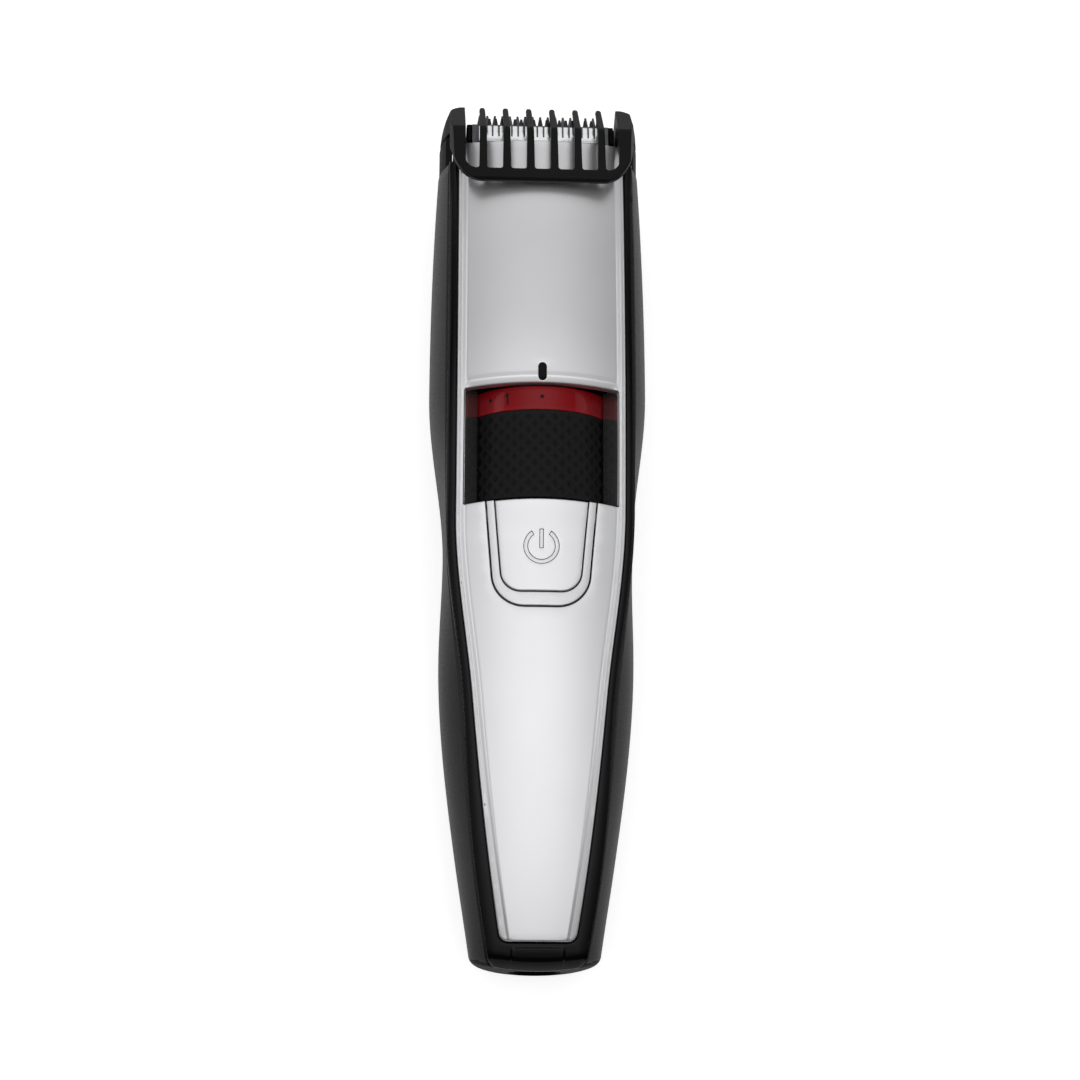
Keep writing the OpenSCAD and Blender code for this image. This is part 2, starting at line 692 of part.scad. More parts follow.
cell_y0 = 24;
cell_z = 4.3 + cell_d / 2;
module battery_cell() color([0.15, 0.35, 0.5]) {
    rod(cell_d / 2, cell_y0, cell_l - 1, 0, cell_z);
    rod(cell_d / 5, cell_y0 + cell_l - 1 - eps, 1, 0, cell_z);
}
module battery_tabs() color([0.8, 0.8, 0.78]) {
    block([-2.5, cell_y0 - 0.3, cell_z - 3], [2.5, cell_y0, board_z]);
    block([-2.5, cell_y0 + cell_l, cell_z - 3], [2.5, cell_y0 + cell_l + 0.3, board_z]);
}
cradle_y1 = cell_y0 + cell_l - 2;
cradle_r = cell_d / 2 + 1.3;
// Posts at both sides of the cradle that the circuit board is screwed to
post_x = cradle_r + 0.9;
post_ys = [cell_y0 + 7.5, cradle_y1 - 6.5];
post_half = 1.5;
module battery_cradle() color([0.82, 0.82, 0.8]) {
    difference() {
        union() {
            difference() {
                rod(cradle_r, cell_y0 + 1, cradle_y1 - cell_y0 - 1, 0, cell_z);
                block([-20, 0, cell_z + 2], [20, body_l, lip_z]);
            }
            for (y = post_ys) both_sides()
                block([cell_d / 2 + 0.3, y - post_half, wall + 2],
                    [post_x + post_half, y + post_half, board_z]);
        }
        rod(cell_d / 2, cell_y0 - 1, cell_l + 4, 0, cell_z);
        block([-20, 0, 0], [20, body_l, wall + seam]);
        board_screw_places() translate([0, 0, -4]) cylinder(r = board_screw_r + 0.05, h = 8);
    }
}
board_z = cell_z + cell_d / 2 + 2.2;
board_t = 1.6;
board_half = 10.6;
board_y0 = 27;
board_y1 = bulkhead_y - 1;
board_screw_r = 0.7;
board_screw_l = 3.5;
module board_screw_places() {
    for (y = post_ys) both_sides() translate([post_x, y, board_z]) children();
}
module circuit_board() color([0.1, 0.35, 0.18]) {
    difference() {
        block([-board_half, board_y0, board_z], [board_half, board_y1, board_z + board_t]);
        board_screw_places() translate([0, 0, -1]) cylinder(r = board_screw_r + seam, h = 8);
    }
}
module board_screws() color([0.6, 0.6, 0.62]) {
    board_screw_places() {
        translate([0, 0, -board_screw_l]) cylinder(r = board_screw_r, h = board_screw_l + board_t);
        translate([0, 0, board_t]) cylinder(r = 2 * board_screw_r, h = 0.8);
    }
}
switch_y = button_y0 + button_l / 2;
switch_h = 3.4;
switch_half = 3;
plunger_r = 1.75;
plunger_deep = 1.6;
// Packages on the board, as [x, y, width, length, height] of their lower left corners
packages = [[-3, 36, 6, 6, 1.2], [-5, 48, 3.2, 3, 0.9], [2, 47, 4, 4, 1.6]];
capacitor = [5.5, 58];
capacitor_r = 2;
capacitor_h = 1.8;
module board_parts() color([0.1, 0.1, 0.1]) {
    z = board_z + board_t;
    for (p = packages) translate([p[0], p[1], z]) cube([p[2], p[3], p[4]]);
    translate([capacitor[0], capacitor[1], z]) cylinder(r = capacitor_r, h = capacitor_h);
}
module switch_body() color([0.2, 0.2, 0.2]) {
    z = board_z + board_t;
    difference() {
        block([-switch_half, switch_y - switch_half, z], [switch_half, switch_y + switch_half, z + switch_h]);
        translate([0, switch_y, z + switch_h - plunger_deep]) cylinder(r = plunger_r + running, h = switch_h);
    }
}
plunger_top = board_z + board_t + switch_h + 1;
module switch_plunger() color([0.3, 0.3, 0.3]) {
    z = board_z + board_t + switch_h - plunger_deep + button_travel + seam;
    translate([0, switch_y, z]) cylinder(r = plunger_r, h = plunger_top - z);
}
module status_light() color([0.9, 0.95, 0.9]) {
    z = board_z + board_t;
    block([-0.8, switch_y + 4.4, z], [0.8, switch_y + 6, z + 0.8]);
}
socket_y0 = 0.4;
socket_depth = 13;
tip_hole_r = 1.6;
tip_hole_l = 8;
lug_x = 3;
lug_half = 0.8;
lug_l = 1.8;
lug_t = 0.6;
module charge_socket() color([0.05, 0.05, 0.05]) {
    difference() {
        rod(socket_r, socket_y0, socket_depth, 0, socket_z);
        rod(plug_r, 0, plug_l + socket_y0, 0, socket_z);
        rod(tip_hole_r, plug_l, tip_hole_l, 0, socket_z);
        rod(contact_r + press_gap, plug_l, 2 * socket_depth, 0, socket_z);
    }
}
module socket_contacts() color([0.85, 0.7, 0.35]) {
    rod(contact_r, plug_l + 1.4, socket_depth + 0.7 - plug_l - 1, 0, socket_z);
    y = socket_y0 + socket_depth;
    for (s = [-1, 1]) block([s * lug_x - lug_half, y, socket_z - lug_t / 2],
        [s * lug_x + lug_half, y + lug_l, socket_z + lug_t / 2]);
}
module housing_screws() color([0.6, 0.6, 0.62]) {
    for (p = [tail_screw, head_screw]) both_sides() {
        translate([p[0], p[1], boss_top(p) - 7]) cylinder(r = screw_r, h = 7 + plate_t + 3 * seam);
        translate([p[0], p[1], plate_z(p[1]) + 2 * seam]) cylinder(r = screw_head_r, h = head_h);
    }
}

// Cutter

blade_tip = [body_l + 12.0, 24.5];
fixed_t = 0.7;
moving_t = 0.5;
// Blade plane: local y = 0 at the tips of the fixed blade, local z = 0 on its front face
module blade_plane() {
    translate([0, blade_tip[0], blade_tip[1]]) rotate([-blade_tilt, 0, 0]) children();
}
// Row of tapered teeth along the top of a plate, as outline points from right to left
function tooth_row(half, pitch, tip, root, root_w, tip_w) = let (n = floor(2 * half / pitch))
    [for (i = [0:n - 1]) let (x = (n - 1) / 2 * pitch - i * pitch)
        each [[x + root_w / 2, root], [x + tip_w / 2, tip], [x - tip_w / 2, tip], [x - root_w / 2, root]]];
drive_half = 5.6;
fixed_rear = -11.4;
fixed_root = -2.3;
notch_v = -7.4;
screw_x = 10.6;
screw_v = -9.6;
module blade_screw_places() {
    both_sides() translate([screw_x, screw_v, 0]) children();
}
module fixed_blade() color([0.85, 0.86, 0.87]) blade_plane() translate([0, 0, -fixed_t]) difference() {
    w = blade_w / 2;
    linear_extrude(fixed_t) polygon(concat([[w, fixed_rear], [w, fixed_root]],
        tooth_row(w - 0.1, fixed_pitch, 0, fixed_root, 1.15, 0.4),
        [[-w, fixed_root], [-w, fixed_rear], [-drive_half, fixed_rear], [-drive_half, notch_v],
            [drive_half, notch_v], [drive_half, fixed_rear]]));
    blade_screw_places() translate([0, 0, -1]) cylinder(r = screw_r + seam, h = 3);
}
slide_gap = 0.05;
moving_half = blade_w / 2 - stroke - 0.2;
moving_root = -3.0;
moving_rear = -6.8;
tongue_half = 4;
module moving_blade() color([0.9, 0.91, 0.92]) blade_plane() translate([0, 0, slide_gap])
    linear_extrude(moving_t) polygon(concat([[moving_half, moving_rear], [moving_half, moving_root]],
        tooth_row(moving_half - 0.1, moving_pitch, -1.1, moving_root, 1.05, 0.45),
        [[-moving_half, moving_root], [-moving_half, moving_rear], [-tongue_half, moving_rear],
            [-tongue_half, -10], [tongue_half, -10], [tongue_half, moving_rear]]));
spring_t = 0.3;
module blade_screws() color([0.7, 0.7, 0.72]) blade_plane() blade_screw_places() {
    translate([0, 0, -6]) cylinder(r = screw_r, h = 6 + spring_t);
    translate([0, 0, spring_t]) cylinder(r = screw_head_r, h = 0.8);
}
// Flat spring under the screw heads: two feet, a raised bridge and a finger that bears on the tongue
module blade_spring() color([0.8, 0.8, 0.8]) blade_plane() difference() {
    foot_half = 2.2;
    riser_x = 8.4;
    bridge_z = 0.7;
    rear = -11.2;
    bridge_v = rear + 0.8;
    finger_v = -8.6;
    union() {
        both_sides() block([screw_x - foot_half, rear, 0], [screw_x + foot_half, notch_v, spring_t]);
        both_sides() block([riser_x - 0.4, rear, 0], [riser_x + 0.4, bridge_v, bridge_z + spring_t]);
        block([-riser_x - 0.4, rear, bridge_z], [riser_x + 0.4, bridge_v, bridge_z + spring_t]);
        block([-2, bridge_v - 0.1, bridge_z], [2, finger_v, bridge_z + spring_t]);
        block([-2, finger_v - 0.4, slide_gap + moving_t + 0.05], [2, finger_v, bridge_z + spring_t]);
    }
    blade_screw_places() translate([0, 0, -1]) cylinder(r = screw_r + seam, h = 3);
}
// Ears that carry the outline of the body on past the side walls, outside the rails of the comb
ear_in = rail_out + pass;
ear_y1 = body_l + 7;
ear_z = [8, 25];
stem_out = head_w / 2 - wall - pass;
stem_z = [12.6, 17];
module head_ear() {
    outer = [for (p = shell_half(body_l, 0.2)) if (p[1] > ear_z[0] && p[1] < ear_z[1]) p];
    along_y(body_l + seam, ear_y1 - body_l - seam)
        polygon(concat([[ear_in, ear_z[0]]], outer, [[ear_in, ear_z[1]]]));
    block([ear_in, flange_y + 1, stem_z[0]], [stem_out, body_l + 1, stem_z[1]]);
}
cavity_half = drive_half + 0.2;
module blade_holder() color([0.06, 0.06, 0.065]) {
    both_sides() head_ear();
    difference() {
        union() {
            shell_plate(flange_y, 2.5, seam_z(body_l) - 0.6);
            neck_profile();
        }
        block([-cavity_half, flange_y - 1, axis_z - 5], [cavity_half, body_l + 30, lip_z]);
        both_sides() block([rail_in - pass, flange_y - 1, rail_z0 - pass],
            [rail_out + pass, flange_y + 3, rail_z1 + pass]);
        blade_plane() blade_screw_places() translate([0, 0, -9]) cylinder(r = screw_r, h = 12);
    }
}
// Wedge under the cutter, cut by the seat of the fixed blade, with an upright block at each side
neck_z0 = 9;
neck_z1 = 30;
neck_sill = 25;
neck_l = 10;
neck_lip = 1.6;
end_block = [-7.2, -3.6];
end_block_h = 1.0;
module neck_profile() {
    y0 = flange_y + 1.2;
    y1 = body_l + 0.6;
    y2 = body_l + neck_l;
    far = 40;
    difference() {
        along_x(2 * block_out) polygon([[y0, neck_z0], [body_l + 2, neck_z0 + 0.5], [y2 - 3, neck_z0 + 6],
            [y2, neck_z0 + 12], [y2, neck_z1], [y1, neck_z1], [y1, neck_sill], [y0, neck_sill]]);
        blade_plane() block([-far, -far, -fixed_t], [far, far, far]);
        blade_plane() block([-far, -neck_lip, -far], [far, far, far]);
    }
    blade_plane() both_sides() block([block_in, end_block[0], -fixed_t - eps],
        [block_out, end_block[1], end_block_h]);
}
yoke_half = 3.6;
yoke_t = 2.6;
yoke_low = 4.4;
slot_half = 1.1;
slot_end = 1.3;
module drive_yoke() color([0.9, 0.9, 0.88]) {
    reach = stroke + slot_end;
    far = 40;
    difference() {
        block([-yoke_half, yoke_y, axis_z - yoke_low], [yoke_half, yoke_y + yoke_t, blade_tip[1] + 6]);
        block([-slot_half, yoke_y - 1, axis_z - reach], [slot_half, yoke_y + yoke_t + 1, axis_z + reach]);
        blade_plane() block([-far, -far, slide_gap], [far, far, far]);
    }
}

// Comb carriage: a yoke round the back of the cam with two arms that carry the comb's rails

yoke_in = drum_r + 0.5;
yoke_out = drum_r + 2.4;
carriage_y0 = cam_pin_y - 2.4;
carriage_l = 4.8;
socket_l = 13;
socket_gap = 0.15;
socket_y1 = body_l - 12;
module comb_carriage() color([0.88, 0.88, 0.86]) {
    difference() {
        ring(yoke_out, yoke_in, carriage_y0, carriage_l);
        block([-40, 0, axis_z + 3], [40, body_l, 2 * lip_z]);
        translate([0, cam_pin_y, 0]) cylinder(r = pin_r, h = axis_z);
    }
    low = rail_z0 - arm_wall;
    high = rail_z1 + arm_wall;
    out = rail_out + arm_wall;
    both_sides() {
        block([sqrt(yoke_in ^ 2 - 9) + 0.3, carriage_y0, low], [out, carriage_y0 + carriage_l, high]);
        difference() {
            block([arm_in, carriage_y0, low], [out, socket_y1, high]);
            block([rail_in - socket_gap, socket_y1 - socket_l, rail_z0 - socket_gap],
                [rail_out + socket_gap, socket_y1 + 1, rail_z1 + socket_gap]);
        }
    }
}
module follower_pin() color([0.75, 0.75, 0.75]) {
    z0 = axis_z - yoke_out + 0.3;
    translate([0, cam_pin_y, z0]) cylinder(r = pin_r, h = axis_z - drum_r + groove_depth - 0.25 - z0);
}

// Comb

comb_tip = [body_l + comb_rise, blade_tip[1] - 0.3];
bar_y0 = body_l - 6.9;
bar_l = 2.7;
bar_y1 = bar_y0 + bar_l;
bar_back = front_z(bar_y0 + bar_l / 2) + comb_gap;
bar_front = bar_back + bar_t;
bar_half = leg_x1 + 1.45;
bar_edge = 1.0;
bar_corner = [6.7, 10.4];
knee = [body_l + 5.7, bar_front - 2.1];
knee_r = 1.8;
tip_r = 0.7;
leg_tip_r = 0.9;
leg_root_r = 2.4;
tooth_root_r = 0.5;
wing_foot = body_l + 0.9;
wing_z0 = 7.4;
wing_r = 4.8;
wing_shoulder = 7.4;
// Front side of the profile, from the bar over the knee, as [y, z]
front_profile = concat([[bar_y0, bar_back + 0.8]],
    arc([bar_y0 + bar_edge, bar_front - bar_edge], bar_edge, 180, 90, 4),
    rounded([bar_y0 + bar_edge, bar_front], knee, comb_tip, knee_r));
// Side profile of a tooth, as [y, z]
function tooth_profile() = concat(front_profile, arc(comb_tip - [tip_r, 0], tip_r, 20, -110, 5),
    [comb_tip + [-1.3, 0.4], [body_l + 4.3, bar_back - 1.4], [bar_y1, bar_back]]);
// Rounded outer corner at the right end of the bar, from its lower side to the leg, as [x, y]
corner_steps = 10;
function bar_end() = [for (i = [0:corner_steps]) let (t = 90 * i / corner_steps)
    [bar_half - bar_corner[0] * (1 - sin(t)), bar_y0 + bar_corner[1] * (1 - cos(t))]];
// Front outline of the bar and the lower part of the legs
module comb_front_outline() {
    y = bar_y1 + leg_root_r;
    right = concat(bar_end(), [[leg_x0, bar_y0 + bar_corner[1]]],
        arc([leg_x0 - leg_root_r, y], leg_root_r, 0, -90));
    polygon(concat(right, [for (i = [len(right) - 1:-1:0]) [-right[i][0], right[i][1]]]));
}
// Front outline of a tooth that flares into the bar
function tooth_outline(x) = let (r = tooth_tip_t / 2, root = tooth_t / 2 + tooth_root_r,
        y = bar_y1 + tooth_root_r)
    concat([[x + root, bar_y1 - bar_l / 2]], arc([x + root, y], tooth_root_r, 270, 180, 4),
        arc([x, comb_tip[0] - r], r, 0, 180, 6), arc([x - root, y], tooth_root_r, 360, 270, 4),
        [[x - root, bar_y1 - bar_l / 2]]);
// Outer side of the comb across the depth, from an inner x outwards, as [x, z]
function wing_section(inner) = let (low = [for (p = shell_half(body_l, 0.2)) if (p[1] > wing_z0 - 1) p])
    concat([[inner, wing_z0 - 1]], low,
        [[bar_half, bar_back - 2], [leg_x1, bar_front + 1], [inner, bar_front + 1]]);
module wing_outline() {
    x = head_w / 2 - 0.3;
    top = comb_tip[0];
    polygon(concat([[0, bar_y0]], bar_end(), [[x, bar_y0 + bar_corner[1]]],
        [for (i = [0:corner_steps]) let (t = 90 * i / corner_steps)
            [x - wing_r * (1 - cos(t)), top - wing_shoulder * (1 - sin(t))]], [[0, top]]));
}
// Side profile of the wall, which clears the end of the panel and the top of the body
module wing_profile() {
    over_z = leg_x0 < crease_half(panel_end_y) ? crown_z(leg_x0, panel_end_y) : border_z(panel_end_y);
    eye = [body_l + 5.4, over_z - 2.6];
    polygon(concat(front_profile, arc(comb_tip - [leg_tip_r, 0], leg_tip_r, 20, -30, 4),
        [[body_l + 4.4, wing_z0 + 0.8], [body_l + 3.2, wing_z0], [wing_foot, wing_z0],
            [wing_foot, rail_z1 + 0.8]],
        arc(eye, 1.2, -40, 70, 5),
        [[wing_foot + 0.6, over_z + 2.8], [wing_foot - 1.4, over_z + 5.2], [bar_y1, bar_back]]));
}
module comb_wing() {
    difference() {
        intersection() {
            along_y(bar_y0 - 1, comb_rise + 14) polygon(wing_section(leg_x0));
            along_x(2 * head_w) wing_profile();
            linear_extrude(2 * lip_z) wing_outline();
        }
        block([ear_in - pass, bar_y0, 0], [head_w, ear_y1 + pass, ear_z[1] + pass]);
    }
    block([rail_in, socket_y1 - socket_l + 0.6, rail_z0], [rail_out, wing_foot + 1.6, rail_z1]);
}
module comb() color([0.07, 0.07, 0.075]) {
    intersection() {
        along_x(2 * head_w) polygon(tooth_profile());
        linear_extrude(2 * lip_z) union() {
            comb_front_outline();
            for (i = [0:comb_teeth - 1]) polygon(tooth_outline((i - (comb_teeth - 1) / 2) * comb_pitch));
        }
        both_sides() along_y(bar_y0 - 1, comb_rise + 14) polygon(wing_section(-1));
    }
    both_sides() comb_wing();
}

// Power button

symbol_r = 3.65;
symbol_t = 0.8;
symbol_y = button_y0 + 9.3;
module symbol_outline(g) {
    gap = 34;
    far = 6 * [sin(gap), cos(gap)];
    translate([0, symbol_y]) {
        difference() {
            circle(r = symbol_r + g);
            circle(r = symbol_r - symbol_t - g);
            polygon([[0, 0], far, [-far[0], far[1]]]);
        }
        translate([-symbol_t / 2 - g, -0.4 - g]) square([symbol_t + 2 * g, symbol_r + 0.6 + 2 * g]);
    }
}
button_proud = 0.3;
module button_slab(high, low) {
    crown_slab(button_y0 - 1, button_y1 - seam, button_w / 2 + 1, high, low);
}
symbol_deep = 0.7;
module power_button() color([0.7, 0.7, 0.7]) {
    difference() {
        intersection() {
            button_slab(button_proud, -2.2);
            linear_extrude(2 * lip_z) trim_outline(0, -0.25);
        }
        linear_extrude(2 * lip_z) symbol_outline(0.03);
    }
    intersection() {
        button_slab(-symbol_deep, -2.2);
        linear_extrude(2 * lip_z) trim_outline(-0.6, -0.8);
    }
    translate([0, switch_y, plunger_top + press_gap])
        cylinder(r = 2.4, h = front_z(switch_y) - 1.6 - plunger_top);
}
module power_symbol() color([0.9, 0.9, 0.9]) {
    intersection() {
        button_slab(button_proud - 0.05, -symbol_deep + press_gap);
        linear_extrude(2 * lip_z) symbol_outline(0);
    }
}

// Middle of the length at y = 0
overall_l = body_l + comb_rise;
module placed() {
    translate([0, -overall_l / 2, 0]) children();
}
placed() back_shell();
placed() front_frame();
placed() front_panel();
placed() dial_well();
placed() pointer_mark();
placed() button_bezel();
placed() chassis();
placed() drum_retainer();
placed() detent_spring();
placed() motor_mount();
placed() motor_can();
placed() motor_end_cap();
placed() motor_terminals();
placed() motor_sleeve();
placed() motor_screws();
placed() motor_shaft();
placed() eccentric_cam();
placed() battery_cell();
placed() battery_tabs();
placed() battery_cradle();
placed() circuit_board();
placed() board_parts();
placed() board_screws();
placed() switch_body();
placed() switch_plunger();
placed() status_light();
placed() charge_socket();
placed() socket_contacts();
placed() housing_screws();
placed() blade_holder();
placed() fixed_blade();
placed() blade_screws();
placed() blade_spring();
placed() moving_blade();
placed() drive_yoke();
placed() dial_drum();
placed() dial_grip();
placed() dial_scale_ring();
placed() comb_carriage();
placed() follower_pin();
placed() comb();
placed() power_button();
placed() power_symbol();
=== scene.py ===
"""Looks of a beard trimmer on its packed construction model.

Shapes are drawn in millimetres: x across, s along the handle from its tail end, z out of the front.
Objects are in metres, in the axes of the frame.
"""
import json
import math

import bmesh
import bpy
import numpy as np
from mathutils import Matrix, Vector
from mathutils.geometry import delaunay_2d_cdt


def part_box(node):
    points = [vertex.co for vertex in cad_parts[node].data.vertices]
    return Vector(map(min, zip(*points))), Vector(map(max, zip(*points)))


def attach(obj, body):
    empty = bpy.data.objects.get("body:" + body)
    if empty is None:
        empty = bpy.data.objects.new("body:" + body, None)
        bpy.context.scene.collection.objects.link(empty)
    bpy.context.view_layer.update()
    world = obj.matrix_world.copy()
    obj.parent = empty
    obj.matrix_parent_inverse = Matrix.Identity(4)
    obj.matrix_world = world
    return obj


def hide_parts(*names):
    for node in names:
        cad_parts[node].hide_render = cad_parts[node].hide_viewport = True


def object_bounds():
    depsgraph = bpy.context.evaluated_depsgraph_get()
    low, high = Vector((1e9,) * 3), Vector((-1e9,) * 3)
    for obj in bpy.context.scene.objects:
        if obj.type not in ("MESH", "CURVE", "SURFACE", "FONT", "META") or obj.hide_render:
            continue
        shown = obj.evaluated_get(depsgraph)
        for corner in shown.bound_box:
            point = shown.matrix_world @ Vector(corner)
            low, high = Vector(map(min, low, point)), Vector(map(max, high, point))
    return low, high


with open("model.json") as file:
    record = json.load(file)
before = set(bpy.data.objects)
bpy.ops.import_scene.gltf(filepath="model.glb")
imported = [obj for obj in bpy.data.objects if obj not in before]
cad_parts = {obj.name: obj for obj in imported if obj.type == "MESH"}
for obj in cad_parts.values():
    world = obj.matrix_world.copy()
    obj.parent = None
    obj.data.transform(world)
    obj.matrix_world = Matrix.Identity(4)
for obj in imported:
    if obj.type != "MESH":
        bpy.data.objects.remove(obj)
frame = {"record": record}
cad_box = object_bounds()

MM = 0.001
TAIL_Y = cad_box[0].y / MM
scene = bpy.context.scene
BODY_OF = {n: b for b, nodes in frame["record"]["behaviour"]["bodies"].items() for n in nodes}
SLOT_OF = {p["node"]: p["material_slot"] for p in frame["record"]["subparts"]}


def node_box(node):
    """Lowest and highest corner of a node as (x, s, z) in millimetres"""
    lo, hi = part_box(node)
    return [np.array(c) / MM - [0, TAIL_Y, 0] for c in (lo, hi)]


# Sizes of the body that its outlines follow

knurl_depth = 0.36
moving_lo, moving_hi = node_box("moving_blade")
blade_tilt = math.radians(12)
moving_teeth = 1.9
tooth_root_s = moving_hi[1] - moving_teeth * math.cos(blade_tilt)

shell_lo, shell_hi = node_box("back_shell")
panel_lo, panel_hi = node_box("front_panel")
grip_lo, grip_hi = node_box("dial_grip")
scale_lo, scale_hi = node_box("dial_scale_ring")

body_l = shell_hi[1]
grip_w = shell_hi[0] - shell_lo[0]
panel_w = panel_hi[0] - panel_lo[0]
foot_reach = 0.7
panel_foot_y = panel_lo[1] - foot_reach
panel_end_y = panel_hi[1]
dial_r = (grip_hi[0] - grip_lo[0]) / 2
axis_z = grip_hi[2] - dial_r
dial_y = grip_lo[1]
dial_end_y = scale_hi[1]

tail_w = 28.1
bulge_w = 41.1
waist_w = 39.8
head_w = 43.6
waist_rise = 1.6
tail_rise = 6.5
head_rise = 3.2
tail_round = 4.6
panel_mid_w = 27.6
panel_foot_w = 15.5
foot_r = 2.1
foot_swell = 0.3
border_w = 2.1
crown_r = 52
band_w = 2.0
wall = 1.8
panel_t = 1.3
seam = 0.1
edge_drop = 0.4
seam_drop = 2.6
lip_z = axis_z + dial_r + 1.3
window_gap = 0.4
window_y0 = dial_y - window_gap
window_y1 = dial_end_y + window_gap
waist_y = 86.5
button_w = 19.3
button_foot_w = 16.6
button_l = 19.0
button_corner = 4.2
bezel_w = 1.75
shut_gap = 0.22
button_y0 = window_y0 - button_l


# Lines of the body

def curve(rows, y):
    """Smooth line through rows of [place, value, slope], straight beyond its ends"""
    rows = np.asarray(rows, float)
    y = np.asarray(y, float)
    i = np.clip(np.searchsorted(rows[:, 0], y, side="right") - 1, 0, len(rows) - 2)
    a, b = rows[i], rows[i + 1]
    length = b[..., 0] - a[..., 0]
    t = (y - a[..., 0]) / length
    value = (a[..., 1] * (2 * t ** 3 - 3 * t ** 2 + 1) + a[..., 2] * length * (t ** 3 - 2 * t ** 2 + t)
             + b[..., 1] * (3 * t ** 2 - 2 * t ** 3) + b[..., 2] * length * (t ** 3 - t ** 2))
    first, last = rows[0], rows[-1]
    value = np.where(y < first[0], first[1] + first[2] * (y - first[0]), value)
    return np.where(y > last[0], last[1] + last[2] * (y - last[0]), value)


def ease(t):
    """Smooth step from 0 to 1"""
    t = np.clip(t, 0, 1)
    return t * t * (3 - 2 * t)


def half_w(s):
    return curve([[tail_round, tail_w / 2, 0.13], [64.5, bulge_w / 2, 0], [waist_y, waist_w / 2, 0],
                  [122, grip_w / 2, 0], [body_l, head_w / 2, -0.06]], s)


def back_z(s):
    return curve([[0, tail_rise, -0.9], [8, tail_rise * 0.4, -0.25], [30, 0, 0], [62, 0, 0],
                  [waist_y, waist_rise, 0], [110, 0, 0], [body_l - 21.5, 0, 0], [body_l, head_rise, 0.2]], s)


def front_z(s):
    return lip_z - curve([[0, 12.2, -0.75], [panel_foot_y, 9.6, -0.24], [35, 5.3, -0.1],
                          [waist_y, 2.2, -0.06], [dial_y, 1.0, -0.1], [dial_end_y, 0, 0],
                          [body_l - 22, 1.7, 0.09], [body_l, 4.7, 0.16]], s)


def panel_half(s):
    return curve([[panel_foot_y, panel_foot_w / 2, 0.165], [54.5, panel_mid_w / 2, 0.092],
                  [window_y0 - 2, panel_w / 2, 0], [body_l, panel_w / 2, 0]], s)


def crease_half(s):
    return panel_half(s) - border_w


def crown_z(x, s):
    return front_z(s) - np.square(x) / (2 * crown_r)


def crease_step(s):
    """Height of the crowned centre over the border"""
    return curve([[panel_foot_y, 0.25, 0], [60, 0.55, 0], [body_l, 0.55, 0]], s)


def border_z(s):
    return crown_z(crease_half(s), s) - crease_step(s)


def edge_z(s):
    return border_z(s) - edge_drop


def seam_z(s):
    return edge_z(s) - seam_drop


def seam_half(s):
    return panel_half(s) + curve([[15, band_w + 1, 0], [60, band_w, 0], [body_l, band_w, 0]], s)


# The tail end bulges in plan, and its edge is rounded

tail_fillet = 1.5
bulge_reach = 22
facet_half = panel_foot_w / 2 - border_w - 0.6
facet_rise = 0.3
facet_run = 0.6
facet_gap = 0.9


def bulge(x):
    a = tail_w / 2 + 3
    return tail_round * 1.25 * (1 - (1 - np.clip(np.abs(x) / a, 0, 1) ** 2) ** 0.45)


def plan_s(x, station):
    """Place along the handle of a point at x on the ring at a station"""
    return station + bulge(x) * np.clip(1 - station / bulge_reach, 0, 1) ** 2


def tail_inset(station):
    d = np.clip(tail_fillet - np.asarray(station, float), 0, tail_fillet)
    return tail_fillet - np.sqrt(tail_fillet ** 2 - d ** 2)


# Mesh tools. Points of a grid keep GRID_OFF spacings from a loop and EXTRA_APART from the extra points, which
# keep EXTRA_OFF millimetres from a loop.

GRID_OFF = 0.5
EXTRA_OFF = 0.12
EXTRA_APART = 0.6


def frange(a, b, step):
    return np.linspace(a, b, max(2, int(round(abs(b - a) / step)) + 1))


def arc(cx, cy, r, a, b, n=10):
    t = np.radians(np.linspace(a, b, n + 1))
    return [(cx + r * math.cos(v), cy + r * math.sin(v)) for v in t]


def densify(loop, step):
    """Closed loop with points no further apart than step"""
    out = []
    for p, q in zip(loop, loop[1:] + loop[:1]):
        n = max(1, math.ceil(math.dist(p, q) / step))
        out += [(p[0] + (q[0] - p[0]) * i / n, p[1] + (q[1] - p[1]) * i / n) for i in range(n)]
    keep = [p for i, p in enumerate(out) if math.dist(p, out[i - 1]) > 1e-4]
    return np.array(keep)


def outward(loop):
    """Normals to the right of a closed loop, longer at corners so that an offset keeps its width"""
    e = np.roll(loop, -1, 0) - loop
    e = e / np.linalg.norm(e, axis=1)[:, None]
    after = np.stack([e[:, 1], -e[:, 0]], 1)
    before = np.roll(after, 1, 0)
    return (before + after) / np.maximum(1 + (before * after).sum(1), 0.5)[:, None]


def inside(points, loops):
    """Which points lie within the loops, counted even and odd"""
    x, y = points[:, 0], points[:, 1]
    odd = np.zeros(len(points), bool)
    for loop in loops:
        for (x0, y0), (x1, y1) in zip(loop, np.roll(loop, -1, 0)):
            if y0 != y1:
                odd ^= ((y0 > y) != (y1 > y)) & (x < x0 + (y - y0) * (x1 - x0) / (y1 - y0))
    return odd


def clearance(points, loops):
    """Distance of points to the nearest edge of the loops"""
    best = np.full(len(points), np.inf)
    for loop in loops:
        for a, b in zip(loop, np.roll(loop, -1, 0)):
            d = b - a
            t = np.clip(((points - a) @ d) / (d @ d), 0, 1)
            best = np.minimum(best, np.linalg.norm(points - a - t[:, None] * d, axis=1))
    return best


